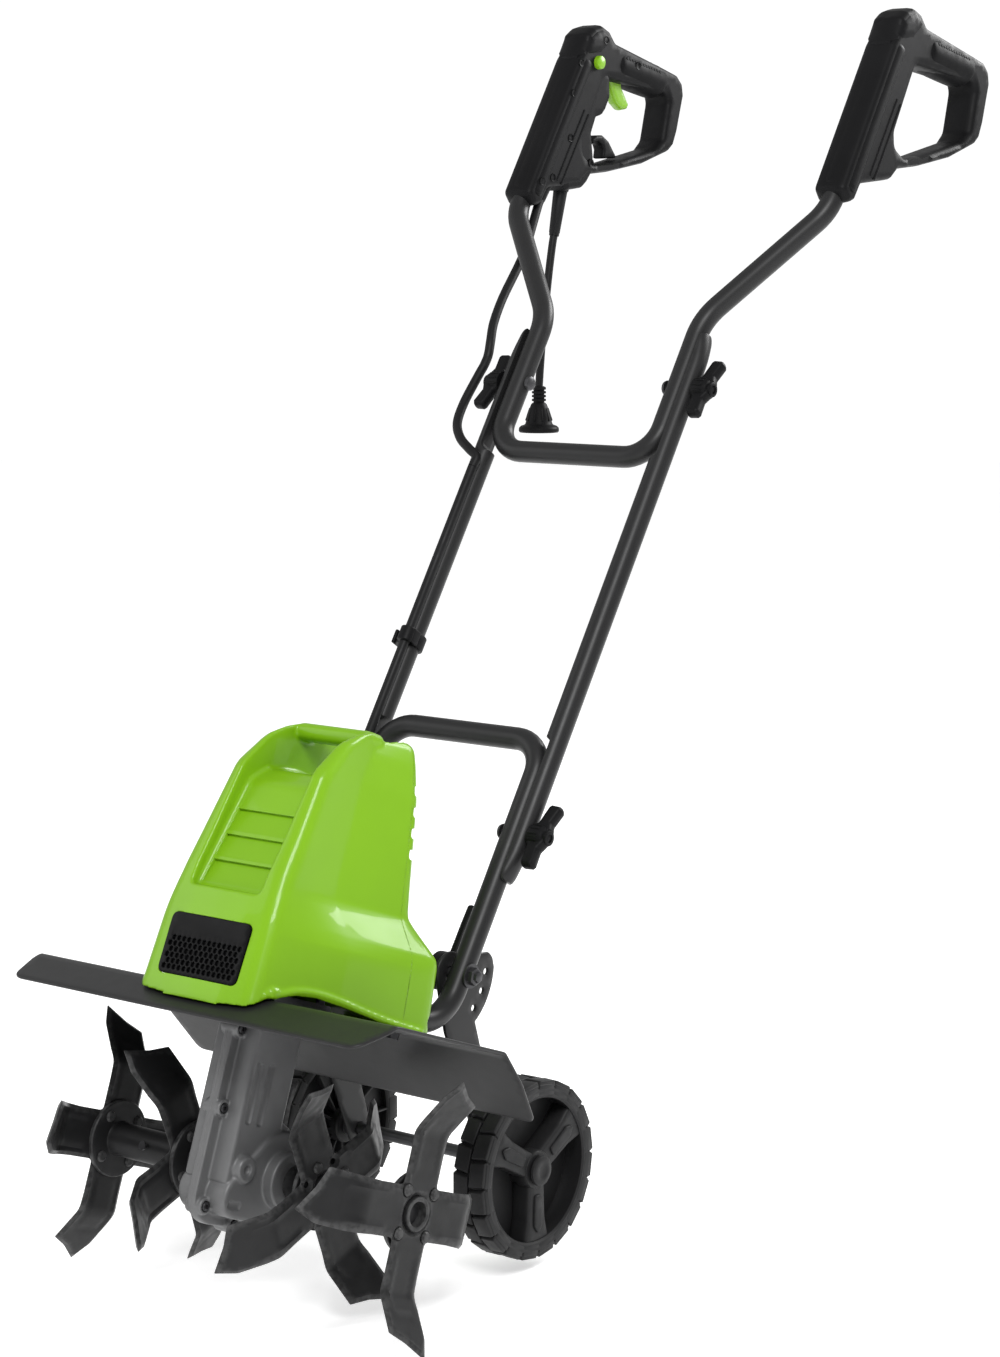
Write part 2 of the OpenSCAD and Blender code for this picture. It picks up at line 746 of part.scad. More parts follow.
module fold_bolts() {
  color("silver") both_sides() {
    on_rail(0) fold_bolt();
    on_rail(fold_len) fold_bolt();
  }
}

module knob() {
  x0 = mid_x + tube_r + gap;
  difference() {
    union() {
      x_rod(9, x0, x0 + 13);
      x_rod(6, x0 + 13, x0 + 17);
      for (a = [0, 180]) rotate([a, 0, 0]) hull() {
        translate([x0 + 4, -3, 5]) cube([8, 6, 3]);
        translate([x0 + 8, -2.5, 24]) cube([7, 5, 2]);
      }
    }
    x_rod(bolt_r + 0.05, x0 - 1, x0 + 14.4);
  }
}

module knob_at(s) { color([0.13, 0.13, 0.14]) on_rail(s) knob(); }

module u_leg() {
  n = unit(splay_b - splay_a);
  t = 30 * tan(acos(n * rail_dir3) / 2);
  on_rail(up_cross_s + corner_r, leg_x) {
    mirror([0, 0, 1]) elbow(corner_r, 90);
    pipe(-lap, splay_s - t - up_cross_s - corner_r + lap);
  }
  placed() {
    bend_at(splay_a, rail_dir3, n, 30);
    translate(splay_a) along(n) pipe(t - lap, norm(splay_b - splay_a) - t + lap);
    bend_at(splay_b, n, rail_dir3, 30);
    translate(splay_b) along(rail_dir3) pipe(t - lap, 72);
  }
}

// Elbow round the corner p, from direction d1 to direction d2
module bend_at(p, d1, d2, bend) {
  m = unit(d2 - (d2 * d1) * d1);
  a = acos(d1 * d2);
  g = cross(-m, d1);
  c = p - bend * tan(a / 2) * d1 + bend * m;
  multmatrix([[-m[0], d1[0], g[0], c[0]], [-m[1], d1[1], g[1], c[1]], [-m[2], d1[2], g[2], c[2]]])
    bend_wall(bend, a);
}

// Turns local Z to the direction v
module along(v) {
  h = norm(v);
  rotate([0, acos(v[2] / h), atan2(v[1], v[0])]) children();
}

module rod_along(v, r) { along(v) cylinder(r = r, h = norm(v)); }

module upper_frame() {
  color([0.27, 0.28, 0.29]) difference() {
    union() {
      both_sides() u_leg();
      cross_pipe(up_cross_s);
    }
    on_rail(fold_len) x_rod(bolt_hole_r, -120, 120);
  }
}

// D grips ------------------------------------------------------------------

module grip_outline() {
  polygon([[515, 731], [591, 850], [598, 858], [603, 872], [612, 878], [624, 881], [636, 876],
    [645, 866], [722, 847], [741, 842], [750, 834], [752, 823], [742, 790], [736, 777], [728, 771],
    [688, 759], [638, 751], [603, 748], [591, 739], [545, 735], [535, 721], [524, 719]]);
}

module grip_opening() {
  polygon([[628, 834], [724, 823], [726, 816], [716, 784], [706, 778], [625, 764], [601, 763],
    [592, 769], [594, 777]]);
}

module grip_section(inset) {
  difference() {
    offset(r = 2, $fn = 20) offset(delta = -2 - inset) grip_outline();
    offset(r = inset + 2, $fn = 20) offset(delta = -2) grip_opening();
  }
}

module upright(x0, x1) {
  placed() translate([x0, 0, 0]) rotate([90, 0, 90]) linear_extrude(x1 - x0) children();
}

module grip() {
  x0 = grip_x - grip_w / 2;
  x1 = grip_x + grip_w / 2;
  difference() {
    upright(x0, x1) grip_section(0);
    upright(x0 + 3, x1 - 3) grip_section(3);
    placed() translate(splay_b) rod_along(82 * rail_dir3, tube_r + 0.1);
  }
}

module trigger_outline(grow) {
  offset(delta = grow) polygon([[636, 846], [684, 838], [686, 824], [677, 811], [668, 806],
    [652, 814], [642, 828]]);
}

// Fills the corner of the left opening with the switch housing
module switch_corner() {
  upright(-grip_x - 14, -grip_x + 14) polygon([[602, 761.5], [612, 762], [613, 766], [610, 784],
    [617, 799], [626, 801], [631, 806], [638, 818], [637, 835], [627.5, 836], [593, 778], [592, 769]]);
}

module grip_left() {
  color([0.12, 0.12, 0.13]) difference() {
    union() {
      mirror([1, 0, 0]) grip();
      switch_corner();
    }
    upright(-grip_x - 8, -grip_x + 8) trigger_outline(5);
    placed() translate([0, 616, 847]) x_rod(6.3, -150, -140);
    placed() translate(lead_pts[0]) along([0, 9, 38]) cylinder(r = 5.1, h = 60);
    on_rail() translate(cable_up_pts[0]) along([-0.5, 1, 16]) cylinder(r = 5.6, h = 40);
  }
}

module grip_right() { color([0.12, 0.12, 0.13]) grip(); }

// Switch body with two cheeks and the pin the trigger turns on
module switch_block() {
  color([0.2, 0.2, 0.22]) placed() translate([-grip_x, 0, 0]) {
    translate([-9, 645, 851.5]) rotate([-13, 0, 0]) cube([18, 34, 4]);
    for (x = [-8.7, 7.5]) translate([x, 642, 836.4]) cube([1.2, 7, 17]);
    translate([0, trigger_piv[0], trigger_piv[1]]) x_rod(1.6, -8.2, 8.2);
  }
}

module trigger() {
  color([0.5, 0.78, 0.1]) difference() {
    upright(-grip_x - 6.5, -grip_x + 6.5) trigger_outline(0);
    placed() translate([-grip_x, trigger_piv[0], trigger_piv[1]]) x_rod(1.65, -10, 10);
  }
}

module lock_button() {
  color([0.5, 0.78, 0.1]) placed() translate([0, 616, 847]) {
    x_rod(6, -151, -141);
    x_rod(8, -153, -150);
  }
}

module mains_lead() { color([0.1, 0.1, 0.1]) placed() cord(lead_pts, lead_d); }

module cable_grommet() {
  color([0.1, 0.1, 0.1]) leaning() translate([-40, 0, 235]) {
    y_rod(5, 26, 34);
    y_rod(7.5, 34, 37.5);
  }
}

module cable_clip() {
  color([0.1, 0.1, 0.1]) on_rail(145) difference() {
    union() {
      translate([-mid_x, 0, 0]) cylinder(r = tube_r + 2.5, h = 12);
      translate([-85, -13, 0]) cylinder(r = 7, h = 12);
    }
    translate([-mid_x, 0, -1]) cylinder(r = tube_r, h = 14);
    translate([-85, -13, -1]) cylinder(r = cable_d / 2 + 0.1, h = 14);
  }
}

module motor_cable(points) { color([0.13, 0.13, 0.13]) on_rail() cord(points, cable_d); }

module strain_reliefs() {
  color([0.1, 0.1, 0.1]) {
    placed() translate(lead_pts[0]) along([0, 9, 38]) cylinder(r = 5, h = 44);
    on_rail() translate(cable_up_pts[0]) along([-0.5, 1, 16]) translate([0, 0, 0.8])
      cylinder(r = 5.5, h = 24);
  }
}

module plug() {
  color([0.1, 0.1, 0.1]) placed() translate(lead_pts[len(lead_pts) - 1]) mirror([0, 0, 1]) {
    cylinder(r = 5, h = 16);
    translate([0, 0, 15]) cylinder(r1 = 8, r2 = 11, h = 20);
    translate([0, 0, 34]) cylinder(r = 16, h = 6);
  }
}

deck();
cover_front();
cover_rear();
label_panel();
gearbox_left();
gearbox_right();
housing_screws();
motor_base();
stator();
field_coils();
end_bracket();
brush_holders();
drive_bearings();
lower_frame();
frame_bolts();
pivot_bolts();
lever_spring();
cable_grommet();
armature_shaft();
armature_core();
commutator();
cooling_fan();
worm();
tine_shaft();
worm_wheel();
hub_tubes();
mirror([1, 0, 0]) tine_outer();  // tine_outer_left
mirror([1, 0, 0]) tine_inner();  // tine_inner_left
tine_inner();  // tine_inner_right
tine_outer();  // tine_outer_right
tine_rivets();
hitch_pins();
mirror([1, 0, 0]) wheel_arm_plate();  // wheel_arm_left
wheel_arm_plate();  // wheel_arm_right
wheel_axle();
mirror([1, 0, 0]) wheel();  // wheel_left
wheel();  // wheel_right
wheel_caps();
lock_lever();
mirror([1, 0, 0]) middle_tube();  // middle_tube_left
middle_tube();  // middle_tube_right
fold_bolts();
cable_clip();
motor_cable(cable_mid_pts);  // cable_middle
motor_cable(cable_low_pts);  // cable_lower_loop
motor_cable(cable_loop_pts);  // cable_upper_loop
motor_cable(cable_up_pts);  // cable_upper
mirror([1, 0, 0]) knob_at(0);  // knob_lower_left
knob_at(0);  // knob_lower_right
mirror([1, 0, 0]) knob_at(fold_len);  // knob_upper_left
knob_at(fold_len);  // knob_upper_right
upper_frame();
grip_left();
grip_right();
switch_block();
trigger();
lock_button();
strain_reliefs();
mains_lead();
plug();
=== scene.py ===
"""Mini cultivator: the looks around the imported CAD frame. Shapes are in millimetres in three frames
(W from the tine axle, M leaning with the gearbox, R along the handle rail) and are scaled to metres."""
import json
from math import ceil, copysign, cos, dist, pi, radians, sin, sqrt, tan

import bmesh
import bpy
import numpy as np
from mathutils import Matrix, Vector, geometry


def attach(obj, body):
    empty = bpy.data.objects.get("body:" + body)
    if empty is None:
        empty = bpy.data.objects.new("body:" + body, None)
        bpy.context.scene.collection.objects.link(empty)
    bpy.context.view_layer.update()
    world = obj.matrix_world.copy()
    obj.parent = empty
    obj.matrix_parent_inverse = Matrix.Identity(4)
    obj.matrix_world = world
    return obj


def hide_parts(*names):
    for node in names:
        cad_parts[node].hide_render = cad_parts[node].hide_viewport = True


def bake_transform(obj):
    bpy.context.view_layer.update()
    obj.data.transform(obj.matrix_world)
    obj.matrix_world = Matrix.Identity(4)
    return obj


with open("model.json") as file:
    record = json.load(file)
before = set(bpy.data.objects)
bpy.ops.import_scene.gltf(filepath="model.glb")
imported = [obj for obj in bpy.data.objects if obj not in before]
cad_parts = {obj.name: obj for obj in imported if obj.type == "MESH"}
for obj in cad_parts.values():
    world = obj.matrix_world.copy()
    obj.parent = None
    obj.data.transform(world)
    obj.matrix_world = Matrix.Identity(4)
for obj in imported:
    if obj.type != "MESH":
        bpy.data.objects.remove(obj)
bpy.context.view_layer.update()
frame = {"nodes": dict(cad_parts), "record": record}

# ---- Frames
MID_Y, AXLE = 325.3, 101.4
LOW_PIVOT = (205, 237)
LEAN, RAIL = radians(20), radians(57.2)
FW = Matrix.Scale(0.001, 4) @ Matrix.Translation((0, -MID_Y, AXLE))
FM = FW @ Matrix.Rotation(-LEAN, 4, "X")
FR = FW @ Matrix.Translation((0, *LOW_PIVOT)) @ Matrix.Rotation(RAIL - pi / 2, 4, "X")
MIRROR = Matrix.Diagonal((-1, 1, 1, 1))
SIDES = (("left", MIRROR), ("right", Matrix()))
BOTH = (Matrix(), MIRROR)
ROW_TO_W = FW.inverted()
X_AXIS = Matrix.Rotation(pi / 2, 4, "Y")      # turns local Z to +X
# (u, v, w) of a flat plate to (w, u, v): the plate stands in the YZ plane
UPRIGHT = Matrix(((0, 0, 1, 0), (1, 0, 0, 0), (0, 1, 0, 0), (0, 0, 0, 1)))
# (u, v, w) to (u, w, v): the plate stands in the XZ plane
FACING = Matrix(((1, 0, 0, 0), (0, 0, 1, 0), (0, 1, 0, 0), (0, 0, 0, 1)))
# places along the handle rail, from the lower fold pivot
FOLD_S, BRACKET_S = 397, -118
GRIP_X = 161


def at(x=0, y=0, z=0):
    return Matrix.Translation((x, y, z))


def rot(a, axis):
    return Matrix.Rotation(radians(a), 4, axis)


def w_of(frame_matrix, p):
    """A point of frame M or R in frame W."""
    return ROW_TO_W @ (frame_matrix @ Vector(p))


def add_object(name, data):
    obj = bpy.data.objects.new(name, data)
    bpy.context.scene.collection.objects.link(obj)
    return obj


# ---- Camera
cam_data = bpy.data.cameras.new("camera")
cam = add_object("camera", cam_data)
cam_place = Matrix.Translation((1.5092, -1.9383, 0.7878))
right = Vector((0.7851, 0.6194, 0.0))
back = Vector((0.6131, -0.7771, 0.1419)).normalized()
up = back.cross(right).normalized()
cam.matrix_world = cam_place @ Matrix((right, up, back)).transposed().to_4x4()
cam_data.lens = 80.95
cam_data.sensor_width = 36
cam_data.shift_x, cam_data.shift_y = -0.0053, 0.0024
cam_data.clip_end = 50
bpy.context.scene.camera = cam


# ---- Materials
MAT = {}


def material(name, color, rough, metal=0.0, grain=900.0, bump=0.12, vary=0.12, rough_vary=0.08, wear=0.0,
             wear_color=(0.3, 0.3, 0.3), dust=0.0, coat=0.0, streak=None, spec=0.5):
    """Moulded, painted or cast surface: broad colour drift, fine grain bump, worn edges and a little dust."""
    m = MAT[name] = bpy.data.materials.new(name)
    m.use_nodes = True
    tree = m.node_tree
    link = tree.links.new
    surface = tree.nodes["Principled BSDF"].inputs
    surface["Metallic"].default_value = metal
    surface["Coat Weight"].default_value = coat
    surface["Specular IOR Level"].default_value = spec

    def node(kind, **values):
        n = tree.nodes.new("ShaderNode" + kind)
        for key, value in values.items():
            n.inputs[key.replace("_", " ")].default_value = value
        return n

    place = node("TexCoord").outputs["Object"]

    def noise(scale, detail, stretch=None):
        n = node("TexNoise", Scale=scale, Detail=detail)
        source = place
        if stretch:
            mapping = node("Mapping", Scale=stretch)
            link(place, mapping.inputs["Vector"])
            source = mapping.outputs["Vector"]
        link(source, n.inputs["Vector"])
        return n.outputs["Fac"]

    def ramp(source, lo, hi, a, z):
        r = node("MapRange", From_Min=lo, From_Max=hi, To_Min=a, To_Max=z)
        link(source, r.inputs["Value"])
        return r.outputs["Result"]

    def over(under, mask, patches, tint):
        """A tint over the colour so far, where a mask and a patchy noise meet."""
        both = node("Math")
        both.operation = "MULTIPLY"
        link(mask, both.inputs[0])
        link(patches, both.inputs[1])
        mixed = node("Mix")
        mixed.data_type = "RGBA"
        link(both.outputs[0], mixed.inputs["Factor"])
        link(under, mixed.inputs["A"])
        mixed.inputs["B"].default_value = (*tint, 1)
        return mixed.outputs["Result"]

    base = node("Mix")
    base.data_type = "RGBA"
    base.inputs["A"].default_value = (*(c * (1 - vary) for c in color), 1)
    base.inputs["B"].default_value = (*(min(1, c * (1 + vary)) for c in color), 1)
    link(ramp(noise(14, 3), 0.3, 0.7, 0, 1), base.inputs["Factor"])
    out = base.outputs["Result"]
    if dust:
        split = node("SeparateXYZ")
        link(node("NewGeometry").outputs["Normal"], split.inputs["Vector"])
        out = over(out, ramp(split.outputs["Z"], 0.2, 1, 0, dust), ramp(noise(60, 4), 0.35, 0.7, 0.2, 1),
                   (0.32, 0.31, 0.29))
    if wear:
        edges = node("NewGeometry").outputs["Pointiness"]
        out = over(out, ramp(edges, 0.52, 0.6, 0, wear), ramp(noise(220, 3), 0.35, 0.6, 0.2, 1), wear_color)
    link(out, surface["Base Color"])
    link(ramp(noise(90, 4), 0.3, 0.7, rough - rough_vary, rough + rough_vary), surface["Roughness"])
    bumps = node("Bump", Strength=bump, Distance=0.0002)
    link(noise(grain, 2, streak), bumps.inputs["Height"])
    link(bumps.outputs["Normal"], surface["Normal"])


GREEN = (0.168, 0.365, 0.006)
material("green_plastic", GREEN, 0.34, grain=1500, bump=0.05, vary=0.03, rough_vary=0.03, coat=0.2, spec=0.2)
material("green_accent", GREEN, 0.34, grain=1500, bump=0.06, vary=0.04, rough_vary=0.03, coat=0.1)
material("black_plastic", (0.0055, 0.0055, 0.006), 0.48, grain=1300, bump=0.16, vary=0.2, spec=0.1)
material("overmould", (0.0045, 0.0045, 0.005), 0.6, grain=700, bump=0.35, vary=0.15, spec=0.09)
material("wheel_plastic", (0.01, 0.01, 0.0105), 0.5, grain=900, bump=0.2, vary=0.2, dust=0.01, spec=0.2)
material("frame_paint", (0.016, 0.016, 0.0165), 0.38, metal=0.1, grain=1800, bump=0.06, vary=0.06,
         rough_vary=0.02, wear=0.1, wear_color=(0.12, 0.12, 0.12), spec=0.24)
material("tine_paint", (0.012, 0.012, 0.0125), 0.42, metal=0.2, grain=700, bump=0.16, vary=0.25, wear=0.4,
         wear_color=(0.16, 0.16, 0.16), spec=0.22)
material("gearbox_cast", (0.135, 0.136, 0.138), 0.48, metal=0.3, grain=1000, bump=0.35, vary=0.12, wear=0.35,
         wear_color=(0.36, 0.36, 0.36), spec=0.4)
material("steel", (0.42, 0.42, 0.43), 0.3, metal=1, grain=500, bump=0.08, streak=(1, 8, 1))
material("dark_steel", (0.05, 0.05, 0.053), 0.4, metal=0.7, grain=600, bump=0.12)
material("core_steel", (0.2, 0.2, 0.21), 0.45, metal=1, grain=300, bump=0.3, streak=(1, 1, 14))
material("copper", (0.5, 0.2, 0.08), 0.3, metal=0.9, grain=600, bump=0.3, streak=(1, 1, 10))
material("bronze", (0.5, 0.36, 0.12), 0.35, metal=1, grain=500, bump=0.1)
material("label_black", (0.003, 0.003, 0.0033), 0.34, grain=1500, bump=0.05, vary=0.1, spec=0.1)
material("cable_rubber", (0.005, 0.005, 0.0055), 0.5, grain=1500, bump=0.15, vary=0.2, spec=0.2)
DARK = {"frame_bolts", "lever_spring", "wheel_axle", "tine_shaft", "hitch_pins", "housing_screws"}
record_slot = {s["node"]: s["material_slot"] for s in frame["record"]["subparts"]}
for node, obj in frame["nodes"].items():
    obj.data.materials.clear()
    obj.data.materials.append(MAT["dark_steel" if node in DARK else record_slot[node]])


# ---- Mesh tools: outlines in a plane, then meshes as (points, faces), all in millimetres
def resample(loop, step):
    """A closed outline with points at most a step apart."""
    out = []
    for i, a in enumerate(loop):
        b = loop[(i + 1) % len(loop)]
        n = max(1, ceil(dist(a, b) / step))
        out += [(a[0] + (b[0] - a[0]) * k / n, a[1] + (b[1] - a[1]) * k / n) for k in range(n)]
    return out


def rounded(loop, radius, seg=6):
    """A closed outline with its corners rounded; radius is one number or one for each corner."""
    n = len(loop)
    radii = radius if isinstance(radius, (list, tuple)) else [radius] * n
    out = []
    for i in range(n):
        p, a, b = (Vector(loop[k % n]) for k in (i, i - 1, i + 1))
        da, db = (a - p), (b - p)
        turn = da.angle(db)
        cut = min(radii[i] / tan(turn / 2) if turn > 0.01 else 0, 0.48 * da.length, 0.48 * db.length)
        if cut < 0.05 or turn > 3.05:
            out.append(tuple(p))
            continue
        s, e = p + da.normalized() * cut, p + db.normalized() * cut
        for k in range(seg + 1):
            t = k / seg
            q = s * (1 - t) ** 2 + p * 2 * t * (1 - t) + e * t * t
            out.append((q.x, q.y))
    return out


def spot(c, r, a):
    return c[0] + r * cos(a), c[1] + r * sin(a)


def circle(c, r, n=24):
    return [spot(c, r, 2 * pi * k / n) for k in range(n)]


def arc(c, r, a0, a1, n=14):
    return [spot(c, r, radians(a0 + (a1 - a0) * k / n)) for k in range(n + 1)]


def inside(points, loop):
    x, y = points[:, 0], points[:, 1]
    hit = np.zeros(len(points), bool)
    for i, (x1, y1) in enumerate(loop):
        x2, y2 = loop[(i + 1) % len(loop)]
        crosses = (y1 > y) != (y2 > y)
        hit ^= crosses & (x < (x2 - x1) * (y - y1) / ((y2 - y1) or 1e-9) + x1)
    return hit


def within(points, loops):
    """Inside the first loop and in none of the others."""
    ok = inside(points, loops[0])
    for hole in loops[1:]:
        ok &= ~inside(points, hole)
    return ok


def edge_distance(points, loops):
    best = np.full(len(points), 1e9)
    for loop in loops:
        for i, a in enumerate(loop):
            a, b = np.array(a), np.array(loop[(i + 1) % len(loop)])
            ab = b - a
            t = np.clip((points - a) @ ab / max(ab @ ab, 1e-9), 0, 1)
            best = np.minimum(best, np.linalg.norm(points - a - t[:, None] * ab, axis=1))
    return best


def plate(outer, holes=(), thick=4.0, roll=1.2, edge=0.0, step=4.0, flat=False, emboss=None):
    """A flat part in its (u, v) plane, centred on w = 0, with its rim rolled over a width of roll down to
    edge times the thickness. flat leaves the rim a plain chamfer. emboss(points) gives extra height."""
    fine = min(step, max(1.2, roll))
    loops = [resample(outer, fine)] + [resample(h, min(fine, 1.6)) for h in holes]
    pts, edges = [], []
    for loop in loops:
        n0 = len(pts)
        pts += loop
        edges += [(n0 + k, n0 + (k + 1) % len(loop)) for k in range(len(loop))]
    rings = []
    for share in ((0.15, 0.45, 1.0) if not flat else (1.0,)):
        for loop in loops:
            for i in range(len(loop)):
                a, b = Vector(loop[i - 1]), Vector(loop[(i + 1) % len(loop)])
                nrm = Vector((a.y - b.y, b.x - a.x))
                if nrm.length > 1e-6:
                    nrm.normalize()
                    for sgn in (1, -1):
                        q = Vector(loop[i]) + nrm * sgn * share * roll
                        rings.append((q.x, q.y, share * roll))
    rings = np.array(rings)
    rings = rings[within(rings[:, :2], loops)]
    rings = rings[edge_distance(rings[:, :2], loops) > 0.93 * rings[:, 2]]
    lo, hi = np.min(loops[0], 0), np.max(loops[0], 0)
    us = np.arange(lo[0], hi[0] + step, step)
    vs = np.arange(lo[1], hi[1] + step, step * 0.87)
    grid = np.array([(u + (step / 2 if j % 2 else 0), v) for j, v in enumerate(vs) for u in us])
    grid = grid[within(grid, loops)]
    grid = grid[edge_distance(grid, loops) > roll + 0.4 * step]
    pts += [tuple(p) for p in rings[:, :2]] + [tuple(p) for p in grid]
    verts, _, faces = geometry.delaunay_2d_cdt([Vector(p) for p in pts], edges, [], 0, 1e-4)[:3]
    v2 = np.array([tuple(v) for v in verts])
    mid = np.array([v2[list(f)].mean(0) for f in faces])
    faces = [f for f, keep in zip(faces, within(mid, loops)) if keep]
    d = np.clip(edge_distance(v2, loops) / roll, 0, 1)
    curve = d if flat else np.sqrt(np.clip(1 - (1 - d) ** 2, 0, 1))
    half = np.maximum(thick / 2 * (edge + (1 - edge) * curve), 0.01)
    extra = emboss(v2) if emboss else np.zeros(len(v2))
    n = len(v2)
    points = [(u, v, side * h + e) for side in (1, -1) for (u, v), h, e in zip(v2, half, extra)]
    out, walls = [], {}
    for a, b, c in faces:
        turn = (v2[b][0] - v2[a][0]) * (v2[c][1] - v2[a][1]) - (v2[b][1] - v2[a][1]) * (v2[c][0] - v2[a][0])
        f = (a, b, c) if turn > 0 else (a, c, b)
        out += [f, (f[0] + n, f[2] + n, f[1] + n)]
        walls.update(dict.fromkeys(((f[0], f[1]), (f[1], f[2]), (f[2], f[0]))))
    out += [(p, p + n, q + n, q) for p, q in walls if (q, p) not in walls]
    return points, out


def warped(mesh, f):
    return [f(*p) for p in mesh[0]], mesh[1]


def lathe(profile, n=48):
    """Turned part about local Z from (radius, height) points: its ends are on the axis, or it is a ring."""
    ring = profile[0][0] > 1e-6
    rows = [[(r * cos(2 * pi * k / n), r * sin(2 * pi * k / n), z) for k in range(n)] for r, z in profile]
    faces, m = [], len(rows)
    for i in range(m if ring else m - 1):
        for k in range(n):
            a, b = i * n + k, i * n + (k + 1) % n
            c, d = ((i + 1) % m) * n + (k + 1) % n, ((i + 1) % m) * n + k
            faces.append((a, b, c, d))
    return [p for row in rows for p in row], faces


def block(sx, sy, sz, r=1.0, seg=3):
    """A box with rounded edges, centred on the origin."""
    bm = bmesh.new()
    bmesh.ops.create_cube(bm, size=1)
    bmesh.ops.scale(bm, vec=(sx, sy, sz), verts=bm.verts)
    bmesh.ops.bevel(bm, geom=bm.edges, offset=min(r, 0.49 * min(sx, sy, sz)), segments=seg, affect="EDGES",
                    profile=0.5)
    out = [tuple(v.co) for v in bm.verts], [tuple(v.index for v in f.verts) for f in bm.faces]
    bm.free()
    return out


def path_of(corners, radii, spacing=4.0):
    """A polyline of 3-D points with its corners rounded to the given bend radii."""
    pts = [Vector(p) for p in corners]
    out = [pts[0]]
    for i in range(1, len(pts) - 1):
        p, a, b = pts[i], pts[i - 1], pts[i + 1]
        da, db = (a - p).normalized(), (b - p).normalized()
        turn = pi - da.angle(db)
        r = radii[i - 1] if isinstance(radii, (list, tuple)) else radii
        if turn < 0.02 or r <= 0:
            out.append(p)
            continue
        cut = r * tan(turn / 2)
        s, e = p + da * cut, p + db * cut
        centre = p + (da + db).normalized() * (r / cos(turn / 2))
        steps = max(4, int(r * turn / spacing))
        u, v = (s - centre), (e - centre)
        for k in range(steps + 1):
            t = k / steps
            out.append(centre + (u * sin((1 - t) * turn) + v * sin(t * turn)) / sin(turn))
    out.append(pts[-1])
    return out


def smooth_path(points, n):
    """A Catmull-Rom curve through the points, with n steps between neighbours."""
    p = [Vector(q) for q in points]
    p = [2 * p[0] - p[1]] + p + [2 * p[-1] - p[-2]]
    out = []
    for i in range(1, len(p) - 2):
        for k in range(n):
            t = k / n
            out.append(0.5 * ((2 * p[i]) + (p[i + 1] - p[i - 1]) * t
                              + (2 * p[i - 1] - 5 * p[i] + 4 * p[i + 1] - p[i + 2]) * t ** 2
                              + (3 * p[i] - p[i - 1] - 3 * p[i + 1] + p[i + 2]) * t ** 3))
    out.append(p[-2])
    return out


def sweep(path, section, n=28, start=(1, 0, 0)):
    """A solid along a path. section is a radius, or a function (share of length, angle) -> (a, b) in the
    ring's own axes, where a starts along start and b completes it."""
    path = [Vector(p) for p in path]
    lengths = [0.0]
    for p, q in zip(path, path[1:]):
        lengths.append(lengths[-1] + (q - p).length)
    pts, faces = [], []
    a_axis = Vector(start)
    for i, p in enumerate(path):
        d = (path[min(i + 1, len(path) - 1)] - path[max(i - 1, 0)]).normalized()
        a_axis = (a_axis - d * a_axis.dot(d)).normalized()
        b_axis = d.cross(a_axis)
        for k in range(n):
            t = 2 * pi * k / n
            if callable(section):
                a, b = section(lengths[i], t)
            else:
                a, b = section * cos(t), section * sin(t)
            pts.append(tuple(p + a_axis * a + b_axis * b))
    m = len(path)
    for i in range(m - 1):
        for k in range(n):
            faces.append((i * n + k, i * n + (k + 1) % n, (i + 1) * n + (k + 1) % n, (i + 1) * n + k))
    faces.append(tuple(range(n - 1, -1, -1)))
    faces.append(tuple((m - 1) * n + k for k in range(n)))
    return pts, faces


class Shape:
    """Collects meshes in one frame and turns them into one object."""

    def __init__(self):
        self.v, self.f = [], []

    def add(self, mesh, matrix=None):
        n = len(self.v)
        pts, faces = mesh
        order = -1 if matrix and matrix.to_3x3().determinant() < 0 else 1
        self.v += [tuple(matrix @ Vector(p)) if matrix else tuple(p) for p in pts]
        self.f += [tuple(i + n for i in f)[::order] for f in faces]
        return self


def upright(outline, x0, x1, roll, holes=()):
    """A plate with its outline in the YZ plane, from x0 to x1."""
    return Shape().add(plate(outline, list(holes), thick=x1 - x0, roll=roll, edge=1 - 2 * roll / (x1 - x0),
                             step=6), at((x0 + x1) / 2, 0, 0) @ UPRIGHT)


def make(name, shape, mat, matrix, angle=35):
    """A Blender object from a Shape or (points, faces), brought to metres by its frame's matrix."""
    pts, faces = (shape.v, shape.f) if isinstance(shape, Shape) else shape
    pts = [tuple(matrix @ Vector(p)) for p in pts]
    if matrix.to_3x3().determinant() < 0:
        faces = [f[::-1] for f in faces]
    me = bpy.data.meshes.new(name)
    me.from_pydata(pts, [], faces)
    bm = bmesh.new()
    bm.from_mesh(me)
    bmesh.ops.remove_doubles(bm, verts=bm.verts, dist=0.00002)
    bmesh.ops.dissolve_degenerate(bm, edges=bm.edges, dist=0.000005)
    bmesh.ops.recalc_face_normals(bm, faces=bm.faces)
    bm.to_mesh(me)
    bm.free()
    me.materials.append(MAT[mat])
    me.shade_smooth()
    me.set_sharp_from_angle(angle=radians(angle))
    return add_object(name, me)


def ridden(obj, body, *nodes, slot=None):
    """obj rides on a body and stands for CAD nodes; slot is not used."""
    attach(obj, body)
    if nodes:
        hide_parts(*nodes)
    return obj


def piece(name, shape, mat, matrix, body, *nodes, slot=None, angle=35):
    return ridden(make(name, shape, mat, matrix, angle), body, *nodes, slot=slot)


def apply_modifiers(obj):
    graph = bpy.context.evaluated_depsgraph_get()
    done = bpy.data.meshes.new_from_object(obj.evaluated_get(graph))
    old = obj.data
    obj.modifiers.clear()
    obj.data = done
    bpy.data.meshes.remove(old)


def tool(shape, matrix=FM):
    """A shape as an object to cut or weld with."""
    return make("tool", shape, "green_plastic", matrix)


